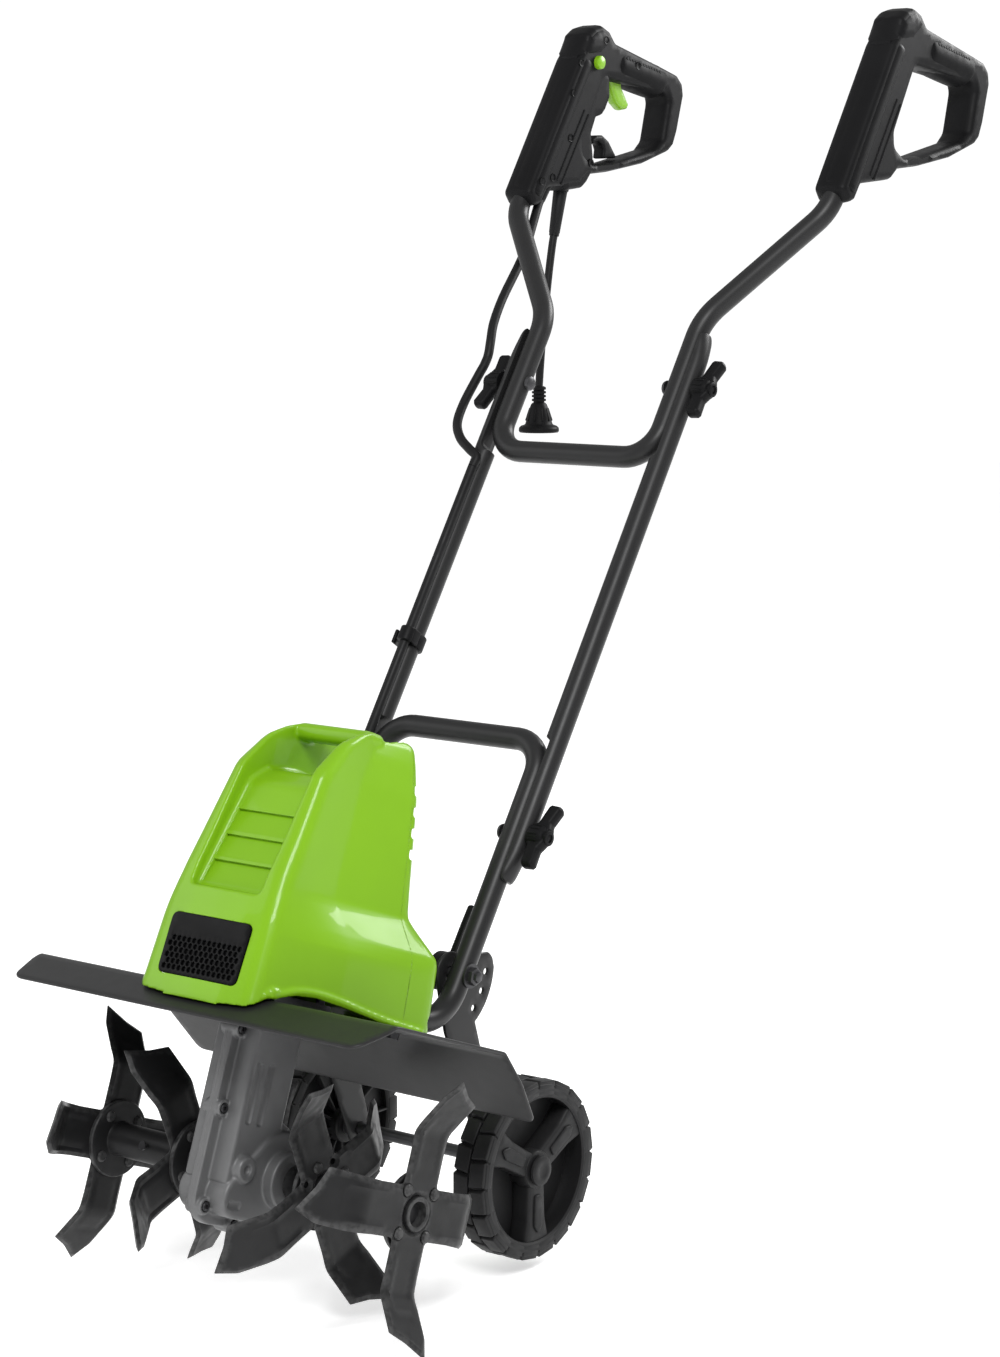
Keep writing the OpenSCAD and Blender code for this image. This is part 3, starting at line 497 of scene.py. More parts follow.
def fuse(base, operation, shapes):
    """A boolean of each shape onto base. A shape is in frame M, or is an object; the objects are used up."""
    for shape in shapes:
        other = shape if isinstance(shape, bpy.types.Object) else tool(shape)
        mod = base.modifiers.new("b", "BOOLEAN")
        mod.solver = "MANIFOLD"
        mod.operation = operation
        mod.object = other
        apply_modifiers(base)
        bpy.data.objects.remove(other)


def weld(base, *shapes):
    fuse(base, "UNION", shapes)


def carve(base, *shapes):
    fuse(base, "DIFFERENCE", shapes)


def turned(profile, n, matrix=None):
    return Shape().add(lathe(profile, n), matrix)


def mould(obj, voxel, rounds):
    """Rounds a boolean body as a mould does: voxel remesh, then smoothing."""
    mod = obj.modifiers.new("r", "REMESH")
    mod.mode = "VOXEL"
    mod.voxel_size = voxel
    mod.use_smooth_shade = True
    smooth = obj.modifiers.new("s", "SMOOTH")
    smooth.factor = 0.5
    smooth.iterations = rounds
    apply_modifiers(obj)
    obj.data.shade_smooth()


# ---- Mains lead and plug
LEAD_X, LEAD_R = -162, 3.5
lead_route = [(LEAD_X, 573, 696), (LEAD_X, 570, 685), (LEAD_X, 565, 660), (LEAD_X, 560, 630),
              (LEAD_X, 556, 605), (LEAD_X, 553, 580), (LEAD_X, 551, 560)]
lead_path = smooth_path(lead_route, 6)
lead = piece("mains_lead_flex", sweep(lead_path, LEAD_R, 20), "cable_rubber", FW, "upper_handle",
             "mains_lead")
plug_shape = Shape()
# a ribbed neck, a cone and the wide face that the fingers pull on
neck = [(r, -z - 3.4 * k) for k in range(4) for r, z in ((6.3, 0), (6.4, 1.9), (4.9, 2.1), (4.9, 3.3))]
plug_profile = [(0, 1), (4.6, 1)] + neck
plug_profile += [(5.6, -13.6), (7, -15), (9, -20), (11, -27), (12, -32), (13, -33.2), (16, -34.2),
                 (17.6, -35.6), (18, -37), (18, -39), (17.2, -40), (0, -40)]
plug_shape.add(lathe(plug_profile, 48))
for k in range(10):
    plug_shape.add(block(1.4, 1.4, 12, 0.6), rot(36 * k, "Z") @ at(9.9, 0, -24) @ rot(-18, "Y"))
plug = piece("plug_body", plug_shape, "black_plastic", FW @ at(*lead_route[-1]), "upper_handle", "plug")

# ---- Motor cable: four lengths; the two that loop across the fold joints ride on no body and stay as drawn
CABLE_R = 4
cable_runs = {}
cable_runs["cable_upper"] = [
    (-157, 21, 604), (-155, 20, 588), (-150, 18, 560), (-146, 16, 540), (-143, 12, 520), (-138, 3, 482),
    (-132.5, -2, 454), (-128, -2.2, 436), (-126.3, -1, 426), (-126, -0.3, 420.5)]
cable_runs["cable_upper_loop"] = [
    (-126, -0.3, 419.9), (-126, -0.8, 412), (-127, -2, 400), (-127, -6, 372), (-121, -11, 350),
    (-108, -15, 334), (-94, -15, 324), (-85, -13, 318), (-85, -13, 308.5)]
cable_runs["cable_middle"] = [(-85, -13, s) for s in (308, 240, 160, 80, 34)]
cable_runs["cable_lower_loop"] = [
    (-85, -13, 33.5), (-85, -13.2, 28), (-86, -15.5, 20), (-81, -21, 6), (-70, -26, -12), (-57, -31, -34),
    (-46, -36, -55), (-41, -43, -67), (-40, -51, -71), (-40, -59, -73)]
cable_bodies = {"cable_upper": ["upper_handle"], "cable_upper_loop": ["middle_handle", "upper_handle"],
                "cable_middle": ["middle_handle"], "cable_lower_loop": ["chassis", "middle_handle"]}
for node, route in cable_runs.items():
    flex = make(node + "_flex", sweep(smooth_path(route, 6), CABLE_R, 20), "cable_rubber", FR)
    bodies = cable_bodies[node]
    if len(bodies) == 1:
        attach(flex, *bodies)
    else:
        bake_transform(flex)
    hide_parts(node)


def relief(length, r0, r1):
    """Tapered strain relief with a collar, pointing down local -Z from the origin."""
    return lathe([(0, 1), (r0, 1), (r0 + 0.3, -1), (r0, -3), (r0 - 0.8, -3.6), (r0 - 1, -8),
                  (r1 + 0.1, 3 - length), (r1 - 0.2, 2.6 - length), (r1 - 0.3, -length), (0, -length)], 32)


def along(v):
    return Vector((0, 0, 1)).rotation_difference(Vector(v)).to_matrix().to_4x4()


reliefs = Shape()
reliefs.add(relief(44, 7.2, 4.8), at(*lead_route[0]) @ along((0, 9, 38)) @ at(0, 0, 42))
cable_top = w_of(FR, cable_runs["cable_upper"][0])
cable_dir = (ROW_TO_W @ FR).to_3x3() @ Vector((-0.5, 1, 16))
reliefs.add(relief(32, 7, 5.2), at(*cable_top) @ along(cable_dir) @ at(0, 0, 20))
piece("strain_relief_sleeves", reliefs, "cable_rubber", FW, "upper_handle", "strain_reliefs")

# ---- Handle tubes
TUBE_R, LEG_X = 9.0, 80.7
rail = Vector((0, cos(RAIL), sin(RAIL)))
foot_dir = Vector((0, cos(LEAN), -sin(LEAN)))
FOOT_HEIGHT, FOOT_REACH = 135.5, 53.9
# where the foot's line meets the rail's line
low_pivot = Vector((LEG_X, *LOW_PIVOT))
foot_line = w_of(FM, (LEG_X, 0, FOOT_HEIGHT))
gap_v = low_pivot - foot_line
den = rail.y * foot_dir.z - rail.z * foot_dir.y
knee = low_pivot - rail * ((gap_v.y * foot_dir.z - gap_v.z * foot_dir.y) / den)
foot_tip = knee - foot_dir * FOOT_REACH


def flip_x(p):
    return Vector((-p[0], p[1], p[2]))


def rail_point(x, s):
    return w_of(FR, (x, 0, s))


half = [foot_tip + foot_dir * d for d in (0, 5, 11, 15)] + [knee, rail_point(LEG_X, 78)]
lower_path = path_of(half + [flip_x(p) for p in reversed(half)], [0, 0, 0, 40, 28, 28, 40, 0, 0, 0])
lower_total = sum((b - a).length for a, b in zip(lower_path, lower_path[1:]))


def foot_section(s, t):
    near = min(s, lower_total - s)
    flat = 1 - min(1, max(0, (near - 8) / 16))
    flat = flat * flat * (3 - 2 * flat)
    return TUBE_R * (1 - 0.25 * flat) * cos(t), TUBE_R * (1 - 0.42 * flat) * sin(t) + 3.6 * flat


piece("lower_frame_tube", sweep(lower_path, foot_section, 32), "frame_paint", FW, "chassis", "lower_frame")
splay_a, splay_b = rail_point(LEG_X, 462), Vector((GRIP_X, 517, 713))
half = [splay_b + rail * 72, splay_b, splay_a, rail_point(LEG_X, 332)]
upper_path = path_of(half + [flip_x(p) for p in reversed(half)], [42, 50, 28, 28, 50, 42])
piece("upper_frame_tube", sweep(upper_path, TUBE_R, 32), "frame_paint", FW, "upper_handle", "upper_frame")

MIDDLE_LEN, LAP_LOW, LAP_HIGH = 487, 121, 369


def tongue_section(s, t):
    """Round tube whose inner half is pressed flat where it laps a leg; s runs from the lower tip."""
    x, y = TUBE_R * cos(t), TUBE_R * sin(t)
    k = max(min(1, (LAP_LOW - s) / 5), min(1, (s - LAP_HIGH) / 5), 0)
    if x < 0:
        x *= 1 - k
    tip = min(s, MIDDLE_LEN - s)
    if tip < 8:
        y *= sqrt(max(0.02, 1 - (1 - tip / 8) ** 2)) * 0.45 + 0.55
    if tip < 30 and x > 0:
        # the outer side is squeezed down onto the leg towards the tip
        x *= 0.45 + 0.55 * sin(pi / 2 * tip / 30)
    return x, y


stations = [0, 0.6, 1.5, 3, 5, 8, 12, 17, 23, 30, 60, 115, 117, 119, 121, 123, 200, 300, 367, 369, 371, 373,
            375, 430, 457, 464, 470, 475, 479, 482, 484, 485.5, 486.4, MIDDLE_LEN]
middle_tube = sweep([(90, 0, s - 40) for s in stations], tongue_section, 32)
for side, m in SIDES:
    piece(f"middle_tube_{side}_rail", middle_tube, "frame_paint", FR @ m, "middle_handle",
          f"middle_tube_{side}")

# Bolts of the handle
bolts = Shape()
for s in (0, FOLD_S):
    for m in BOTH:
        place = m @ at(LEG_X - TUBE_R, 0, s) @ rot(-90, "Y")
        bolts.add(lathe([(0, -40), (3, -40), (3, 0.3), (6.3, 0.3), (6.3, 1.2), (5.6, 2.7), (4, 3.6),
                         (0, 3.9)], 32), place)
piece("carriage_bolts", bolts, "dark_steel", FR, "middle_handle", "fold_bolts", slot="steel")
pivots = Shape()
for m in BOTH:
    place = m @ at(0, 0, BRACKET_S) @ X_AXIS
    pivots.add(lathe([(0, 46), (6.5, 46), (7.5, 47), (7.5, 49), (4, 49), (4, 90), (9.5, 90), (9.5, 91.2),
                      (0, 91.2)], 40), place)
    pivots.add(lathe([(0, 91), (6.9, 91), (6.9, 95.5), (6, 96.2), (4.6, 96.4), (4.2, 98.4), (3, 99), (0, 99)],
                     6), place @ rot(20, "Z"))
piece("bracket_pivot_bolts", pivots, "dark_steel", FR, "chassis", "pivot_bolts", slot="steel")

# Knobs
knob_half = [(99.4, 9.5), (101.5, 11), (103.5, 26), (105.5, 28.5), (114, 28), (115.6, 25), (113.2, 12),
             (115.6, 6.5)]
knob_outline = [(x, -z) for x, z in knob_half[:1]] + knob_half + [(x, -z) for x, z in reversed(knob_half[1:])]
knob_shape = Shape()
knob_shape.add(plate(rounded(knob_outline, 1.8), thick=10, roll=2.4, step=3), FACING)
knob_shape.add(lathe([(0, 99.3), (9, 99.3), (9.2, 100.2), (8.8, 110), (7.6, 112.8), (6, 113.4), (6, 115.9),
                      (5.4, 116.3), (3.4, 116.3), (3.2, 114), (0, 114)], 36), X_AXIS)
for k in range(12):
    knob_shape.add(block(9, 1.6, 1.6, 0.5, 2), rot(30 * k + 15, "X") @ at(105, 9, 0))
for side, m in SIDES:
    for level, s in (("lower", 0), ("upper", FOLD_S)):
        piece(f"knob_{level}_{side}_body", knob_shape, "black_plastic", FR @ m @ at(0, 0, s) @ rot(-12, "X"),
              f"{level}_{side}_knob", f"knob_{level}_{side}")

# ---- Deck: one sheet folded at its front and rear
DECK_T = 2.5
fold_line = path_of([(0, -129, 105), (0, -97, 126), (0, 31, 126), (0, 95, 82)], 7, 1.5)
fold_len = [0.0]
for p, q in zip(fold_line, fold_line[1:]):
    fold_len.append(fold_len[-1] + (q - p).length)
DECK_LEN = fold_len[-1]


def on_fold(x, v, w):
    """A point of the flat sheet after folding; w is height above the sheet's middle."""
    v = min(max(v, 0), DECK_LEN)
    i = min(max(int(np.searchsorted(fold_len, v)) - 1, 0), len(fold_line) - 2)
    p, q = fold_line[i], fold_line[i + 1]
    p0, q1 = fold_line[max(i - 1, 0)], fold_line[min(i + 2, len(fold_line) - 1)]
    t = (v - fold_len[i]) / (fold_len[i + 1] - fold_len[i])
    here = p.lerp(q, t)
    d = (q - p0).normalized().lerp((q1 - p).normalized(), t).normalized()
    n = Vector((0, -d.z, d.y))
    return tuple(here + n * (w - DECK_T / 2) + Vector((x, 0, 0)))


deck_flat = [(-170, 0), (170, 0), (179, 30), (179, 200), (171, DECK_LEN), (-171, DECK_LEN), (-179, 200),
             (-179, 30)]
deck_flat = rounded(deck_flat, [13, 13, 30, 60, 9, 9, 60, 30], 10)
deck = plate(deck_flat, thick=DECK_T, roll=1.1, step=6)
piece("deck_sheet", warped(deck, on_fold), "frame_paint", FM, "chassis", "deck", angle=50)

# ---- Tine discs
BEND_START, BEND_A, TINE_T = 54.0, radians(36), 4.0
BEND_RADIUS = 4 / tan(BEND_A / 2)
# the blade's run beyond the bend, drawn out to the tips' real reach
STRETCH = 1.055
arm = [(44, -19), (70, -20.5), (87, -21.5), (93.5, -6), (104.8, 12), (89, 19), (68, 20), (44, 19), (19, 19)]
arm_round = [20, 20, 1.2, 16, 0.5, 12, 20, 20, 4]


def disc_outline():
    pts, radii = [], []
    for k in range(4):
        for (r, s), q in zip(arm, arm_round):
            pts.append([(r, s), (-s, r), (-r, -s), (s, -r)][k])
            radii.append(q)
    return rounded(pts, radii, 5)


def pressed_ribs(p):
    """Raised bead that follows each arm's edges, as pressed into the plate."""
    r = np.maximum(np.abs(p[:, 0]), np.abs(p[:, 1]))
    s = np.minimum(np.abs(p[:, 0]), np.abs(p[:, 1]))
    bead = np.exp(-((s - 12.5) / 1.3) ** 2) * np.clip((r - 30) / 4, 0, 1) * np.clip((74 - r) / 4, 0, 1)
    cross = np.exp(-((r - 75) / 1.3) ** 2) * np.clip((13.5 - s) / 2, 0, 1)
    return 0.9 * np.maximum(bead, cross)


def bent_arm(u, v, w):
    """Bends the arms along v to one side and those along u to the other."""
    along_u = abs(u) > abs(v)
    r = abs(u) if along_u else abs(v)
    sign = -1.0 if along_u else 1.0
    rr, xx = r, w
    if r > BEND_START:
        bent = min(r - BEND_START, BEND_RADIUS * BEND_A)
        a = bent / BEND_RADIUS
        rest = r - BEND_START - bent
        rr = BEND_START + BEND_RADIUS * sin(a) + rest * cos(a) - sign * w * sin(a)
        xx = sign * (BEND_RADIUS * (1 - cos(a)) + rest * sin(a)) + w * cos(a)
        rr = BEND_START + (rr - BEND_START) * STRETCH
    return (copysign(rr, u), v, xx) if along_u else (u, copysign(rr, v), xx)


RIVET_R = 22
rivet_holes = [circle(spot((0, 0), RIVET_R, radians(45 + 90 * k)), 2.6, 12) for k in range(4)]
disc_plate = plate(disc_outline(), [circle((0, 0), 13.2, 32)] + rivet_holes, thick=TINE_T, roll=3.2,
                   edge=0.12, step=3.2, flat=True, emboss=pressed_ribs)
disc_mesh = warped(disc_plate, bent_arm)
TINE_X = {"tine_inner": 64, "tine_outer": 150}
for (name, x), turn in zip(TINE_X.items(), (40, 0)):
    for side, m in SIDES:
        place = FM @ m @ at(x + TINE_T / 2, 0, 0) @ rot(turn, "X") @ UPRIGHT
        piece(f"{name}_{side}_disc", disc_mesh, "tine_paint", place, "tines", f"{name}_{side}", angle=24)

hub = Shape()
for m in BOTH:
    place = m @ X_AXIS
    hub.add(lathe([(9.3, 36.2), (12.4, 36), (13, 36.6), (13, 57.5), (14.4, 59.5), (29.2, 60), (30, 60.8),
                   (30, 63.4), (29.4, 63.9), (13.1, 64), (13.05, 144), (14.2, 145.8), (29.2, 146),
                   (30, 146.8), (30, 149.4), (29.4, 149.9), (13, 150), (13, 154.8), (12.4, 155.8),
                   (10.4, 156), (9.3, 155.4)], 56), place)
piece("tine_hub_sleeves", hub, "tine_paint", FM, "tines", "hub_tubes")
rivets = Shape()
for m in BOTH:
    for x in TINE_X.values():
        for k in range(4):
            place = m @ rot(45 + 90 * k, "X") @ at(0, RIVET_R, 0) @ X_AXIS @ at(0, 0, x)
            rivets.add(lathe([(0, -6), (3, -6), (4.4, -4.8), (4.5, -4), (2.5, -4), (2.5, 4), (4.5, 4),
                              (4.4, 4.8), (3.2, 6), (0, 6.2)], 20), place)
piece("tine_rivet_heads", rivets, "tine_paint", FM, "tines", "tine_rivets")

# ---- Wheels
axle_yz = (193.0, -22.0)
WHEEL_C = at(0, *axle_yz)


def wheel_shape():
    s = Shape()
    s.add(lathe([(56.5, 87.5), (58, 86.3), (63.5, 86), (66.2, 88), (67, 92), (67, 110), (66.2, 114),
                 (63.5, 116), (58, 115.7), (56.5, 114.5), (57.5, 108), (58.5, 103.5), (58.5, 99.5),
                 (57.5, 95)], 96), X_AXIS)
    for k in range(20):
        for row, x, turn in ((0, 93.4, 0), (1, 108.6, 9)):
            turn += 18 * k
            tread = block(13.6, 19.6, 5.2, 0.9)
            slant = 1.8 if row else -1.8
            tread = warped(tread, lambda x, y, z: (x, y * (1 - 0.03 * z) + slant * x / 12.8, z))
            s.add(tread, rot(turn, "X") @ at(x, 0, 67.1))
            lug = block(3.0, 19.2, 8.5, 0.9)
            s.add(lug, rot(turn, "X") @ at(87.3 if row == 0 else 114.4, 0, 62.6))
    s.add(lathe([(8, 93.5), (59.5, 93.5), (59.5, 96.5), (8, 96.5)], 72), X_AXIS)
    s.add(lathe([(5.1, 80.5), (13, 80.5), (14, 81.5), (14, 99.5), (15.5, 104), (15.5, 113), (14.5, 114.6),
                 (5.1, 115)], 48), X_AXIS)
    for k in range(3):
        spoke = [(6, -10), (18, -10), (40, -11), (60, -16), (60, 16), (40, 11), (18, 10), (6, 10)]
        s.add(plate(rounded(spoke, 5), thick=18, roll=2.2, edge=0.5, step=5),
              rot(30 + 120 * k, "X") @ at(105, 0, 0) @ UPRIGHT)
        s.add(plate(rounded([(20, -4.2), (44, -5), (52, 0), (44, 5), (20, 4.2)], 2.5), thick=2.4, roll=0.9,
                    step=4), rot(30 + 120 * k, "X") @ at(114.6, 0, 0) @ UPRIGHT)
    for k in range(12):
        s.add(block(7, 1.8, 44, 0.5, 2), rot(30 * k, "X") @ at(90.4, 0, 36))
    return s


wheel = wheel_shape()
caps = Shape()
for side, m in SIDES:
    piece(f"wheel_{side}_tread", wheel, "wheel_plastic", FW @ m @ WHEEL_C, side + "_wheel", f"wheel_{side}")
    caps.add(lathe([(0, 108), (5, 108), (5, 116), (11.4, 116.4), (12, 117.2), (11.6, 118.8), (10.4, 119.7),
                    (6, 120), (5, 119.4), (0, 119.2)], 40), m @ X_AXIS)
piece("wheel_hub_caps", caps, "wheel_plastic", FW @ WHEEL_C, "wheel_bracket", "wheel_caps")

# ---- Wheel bracket and lock lever
bracket_pivot = rail_point(0, BRACKET_S)
hub_yz = (bracket_pivot.y, bracket_pivot.z)
arm_outline = arc(hub_yz, 16, 200, 40) + arc((hub_yz[0] + 40, hub_yz[1] - 4), 13, 60, 5, 8)
arm_outline += arc(hub_yz, 54, -6, -56) + arc(axle_yz, 13, 20, -165) + [(hub_yz[0] - 6, hub_yz[1] - 46)]
arm_holes = [circle(hub_yz, 4.4, 32), circle(axle_yz, 5.0, 20)]
arm_holes += [circle(spot(hub_yz, 44, radians(a)), 2.6, 14) for a in (-50, -30, -10)]
arm_plate = plate(arm_outline, arm_holes, thick=3, roll=0.9, step=5)
for side, m in SIDES:
    piece(f"wheel_arm_{side}_plate", arm_plate, "frame_paint", FW @ m @ at(69, 0, 0) @ UPRIGHT,
          "wheel_bracket", f"wheel_arm_{side}")

lever = Shape()
lever.add(lathe([(4.1, 58), (14, 58), (15, 59), (15, 66), (14, 67), (7.5, 67), (7, 66), (4.1, 66)], 40),
          X_AXIS)
lever.add(plate(rounded([(3, 2), (12.5, 4), (13.6, 40), (12.4, 57), (4.4, 57.5), (3.6, 40)], 2.5), thick=7,
                roll=1.8, step=4), at(62.5, 0, 0) @ UPRIGHT)
for k in range(5):
    lever.add(block(7.6, 1.3, 1.6, 0.5, 2), at(62.5, 12.9, 34 + 4.5 * k))
piece("lock_lever_body", lever, "black_plastic", FR @ at(0, 0, BRACKET_S), "lever", "lock_lever")

# ---- Grips
grip_outer = [(515, 731), (591, 850), (598, 858), (603, 872), (612, 878), (624, 881), (636, 876), (645, 866),
              (722, 847), (741, 842), (750, 834), (752, 823), (742, 790), (736, 777), (728, 771), (688, 759),
              (638, 751), (603, 748), (591, 739), (545, 735), (535, 721), (524, 719)]
grip_open = [(628, 834), (724, 823), (727, 816), (718, 782), (708, 773.5), (640, 759.5), (612, 757.5),
             (597, 766), (596, 778)]
grip_body = plate(rounded(grip_outer, 7), [rounded(grip_open, 8)], thick=30, roll=4.5, edge=0.45, step=5)
stem_axis = [Vector((0, 527.8, 729.8)).lerp(Vector((0, 604, 848)), t)
             for t in (0, 0.004, 0.015, 0.03, 0.2, 0.4, 0.6, 0.8, 0.95, 0.975, 0.99, 1)]
switch_box = [(560, 745), (574, 733.5), (596, 736), (603, 741), (611, 750), (613, 764), (610, 784.4),
              (617, 798.7), (626, 801), (631, 806), (638, 817.5), (637, 834), (630, 848), (604, 848),
              (590, 832)]
hook = [(658, 764), (645, 779), (636, 784), (626, 783.5), (619, 779.5), (621, 776), (630, 778), (635.5, 775),
        (637.5, 771), (636, 763)]
STEM_LEN = 140.6


def stem_section(s, t):
    tip = min(s, STEM_LEN - s)
    k = 1 if tip > 4 else 0.9 + 0.1 * sqrt(max(0.0, 1 - (1 - tip / 4) ** 2))
    return 17 * k * cos(t), 12 * k * sin(t)


bar_a, bar_b = Vector((0, 651, 847.5)), Vector((0, 722, 834))
bar_len = (bar_b - bar_a).length


def bar_section(s, t):
    tip = min(s, bar_len - s)
    k = sqrt(max(0.0, 1 - (1 - min(1, tip / 6)) ** 2)) * 0.16 + 0.84
    swell = 1 + 0.04 * sin(pi * s / bar_len)
    return 17.6 * k * cos(t), 15.4 * k * swell * sin(t)


bar_shares = (0, 0.02, 0.05, 0.09, 0.2, 0.35, 0.5, 0.65, 0.8, 0.91, 0.95, 0.98, 1)
sleeve = sweep([bar_a.lerp(bar_b, t) for t in bar_shares], bar_section, 40)
cap = [(588, 848), (596, 860), (603, 872), (613, 878), (624, 880.5), (635, 876), (641, 866), (622, 852)]
nub = lathe([(0, -1), (1.9, -1), (1.7, 0.2), (1.0, 0.6), (0, 0.65)], 10)
nub_lean = rot(-10.7, "X") @ Matrix.Diagonal((1, 1, 15.6 / 17.6, 1))
for side, m in SIDES:
    shape = Shape()
    shape.add(grip_body, UPRIGHT)
    shape.add(sweep(stem_axis, stem_section, 40))
    # domed cap on the stem and two raised lines of the clamshell beside the sheath
    shape.add(plate(rounded(cap, 5), thick=33.6, roll=8, edge=0.15, step=4), UPRIGHT)
    for off in (17, 24):
        line = [Vector((0, 527.8 + 0.8406 * off, 729.8 - 0.5417 * off)) + rail * t for t in (26, 60, 100)]
        for sgn in (1, -1):
            shape.add(sweep([q + Vector((sgn * 14.8, 0, 0)) for q in line], 1.1, 8))
    if side == "left":
        shape.add(plate(rounded(switch_box, 3), thick=28, roll=3.5, edge=0.5, step=5), UPRIGHT)
        shape.add(plate(rounded(hook, 1.6), thick=13, roll=2, edge=0.5, step=3), UPRIGHT)
    grip_place = FW @ m @ at(GRIP_X, 0, 0)
    piece(f"grip_{side}_body", shape, "black_plastic", grip_place, "upper_handle", f"grip_{side}")
    soft = Shape().add(sleeve)
    for k in range(13):
        for a in (-66, -40, -14, 12, 38, 64):
            seat = bar_a.lerp(bar_b, 0.1 + 0.8 * (k + (0.5 if a in (-40, 12, 64) else 0)) / 13.5)
            soft.add(nub, at(*seat) @ nub_lean @ rot(a, "Y") @ at(0, 0, 17.5))
    piece(f"grip_{side}_overmould", soft, "overmould", grip_place, "upper_handle", slot="black_plastic")

screw = lathe([(0, -0.4), (1.2, -0.4), (1.3, 0.1), (2.6, 0.1), (2.8, 0.6), (3.4, 0.7), (3.6, 0.4), (3.7, -1),
               (0, -1)], 24)
screws = Shape()
for y, z, x in ((592, 846, 14.5), (580, 819, 15.5), (576, 779.7, 15), (550, 744.7, 15), (533, 741, 16.4),
                (674, 846.7, 17.2), (626, 867, 16.5), (606, 758.6, 15)):
    screws.add(screw, at(x - GRIP_X, y, z) @ X_AXIS)
piece("grip_left_screws", screws, "label_black", FW, "upper_handle", slot="black_plastic")

trigger_outline = [(641, 845), (668, 842), (668, 834), (665.5, 828.5), (677.5, 812.5), (674.5, 808),
                   (667, 807), (658, 812.6), (652.5, 821.5), (646, 834)]
piece("trigger_blade", plate(rounded(trigger_outline, 2.5), thick=11, roll=2.5, step=3), "green_accent",
      FW @ at(-GRIP_X, 0, 0) @ UPRIGHT, "switch_trigger", "trigger")
piece("lock_off_button_cap", lathe([(0, -153), (7, -153), (8, -152.2), (8, -150.4), (6, -150), (6, -143),
                                    (5.6, -141.8), (4.4, -141), (0, -140.9)], 36), "green_accent",
      FW @ at(0, 616, 847) @ X_AXIS, "lock_off_button", "lock_button")

# ---- Cable clip
clip = Shape()
clip.add(lathe([(9.1, 0), (11.2, 0), (11.6, 0.6), (11.6, 11.4), (11.2, 12), (9.1, 12)], 40), at(-90, 0, 145))
clip.add(lathe([(4.15, 0), (6.4, 0), (6.9, 0.6), (6.9, 11.4), (6.4, 12), (4.15, 12)], 32), at(-85, -13, 145))
clip.add(block(6, 9, 12, 1.2), at(-80.5, -9.5, 151))
clip.add(block(3, 10, 12, 1), at(-101.5, -4, 151))
piece("cable_clip_strap", clip, "black_plastic", FR, "middle_handle", "cable_clip")

# ---- Cover
# level: height, front y, front half width, rear y, rear half width
LEVELS = [(100, -115, 56, 52, 95), (120, -114, 56, 52, 94.5), (127, -113, 55.5, 52, 94),
          (182, -107.5, 54, 51, 90), (208, -103, 53, 34, 66.5), (214, -102, 52.5, 33, 66),
          (296, -79, 47, 30, 53.5), (322, -58, 43, 28, 47), (334, -38, 39, 27.4, 43), (341, -18, 36, 27, 39)]
RIM = 127.0
# the flank turns at this share of its length, and bulges by this much below the shoulder
TURN, POD = 0.42, 5.0
# height over which the top rounds off, and the label's slope
CROWN, CROWN_STEPS = 8, (0, 0.3, 0.55, 0.75, 0.88, 0.96, 1)
LABEL_TILT = rot(-4.6, "X")


def level_at(z):
    """Cover sizes at a height, averaged over a window so that the shoulders are rounded."""
    zs = [q[0] for q in LEVELS]
    out = []
    for c in range(1, 5):
        window = [np.interp(z + d, zs, [q[c] for q in LEVELS]) for d in (-2.5, -1.2, 0, 1.2, 2.5)]
        out.append(sum(window) / len(window))
    return out


def cover_loft(inset, z0, z1, corner=13.0):
    """The cover's outer body, or its inside for an inset, as a closed loft."""
    n, rows = 112, []
    zs = list(np.arange(z0, z1 - CROWN, 5)) + [z1 - CROWN * (1 - q) for q in CROWN_STEPS]
    for z in zs:
        yf, wf, yr, wr = level_at(z)
        top = max(0.0, (z - (z1 - CROWN)) / CROWN)
        shrink = inset + 7 * (1 - sqrt(max(0.0, 1 - top * top)))
        bulge = 4.5 * min(1, max(0, (240 - z) / 60))
        loop = [(-wf + shrink, yf + shrink), (-0.5 * wf, yf + shrink - 0.75 * bulge),
                (0, yf + shrink - bulge), (0.5 * wf, yf + shrink - 0.75 * bulge), (wf - shrink, yf + shrink)]
        # the flank is hollowed a little behind the front corner
        hollow = 6.0 * min(1, max(0, (z - 184) / 22)) - POD * min(1, max(0, (184 - z) / 12))
        flank = (wf + (wr - wf) * TURN - shrink - hollow, yf + (yr - yf) * TURN)
        loop += [flank, (wr - shrink, yr - shrink), (-wr + shrink, yr - shrink), (-flank[0], flank[1])]
        loop = rounded(loop, [corner, 30, 30, 30, corner, 6, corner * 0.8, corner * 0.8, 6], 8)
        walk = [Vector(p) for p in loop]
        acc = [0.0]
        for i, p in enumerate(walk):
            acc.append(acc[-1] + (walk[(i + 1) % len(walk)] - p).length)
        row = []
        for k in range(n):
            d = acc[-1] * k / n
            i = min(int(np.searchsorted(acc, d, side="right")) - 1, len(walk) - 1)
            q = walk[i].lerp(walk[(i + 1) % len(walk)], (d - acc[i]) / max(acc[i + 1] - acc[i], 1e-6))
            row.append((q.x, q.y, z))
        rows.append(row)
    pts = [p for row in rows for p in row]
    faces = [(i * n + k, i * n + (k + 1) % n, (i + 1) * n + (k + 1) % n, (i + 1) * n + k)
             for i in range(len(rows) - 1) for k in range(n)]
    faces += [tuple(range(n - 1, -1, -1)), tuple((len(rows) - 1) * n + k for k in range(n))]
    return pts, faces


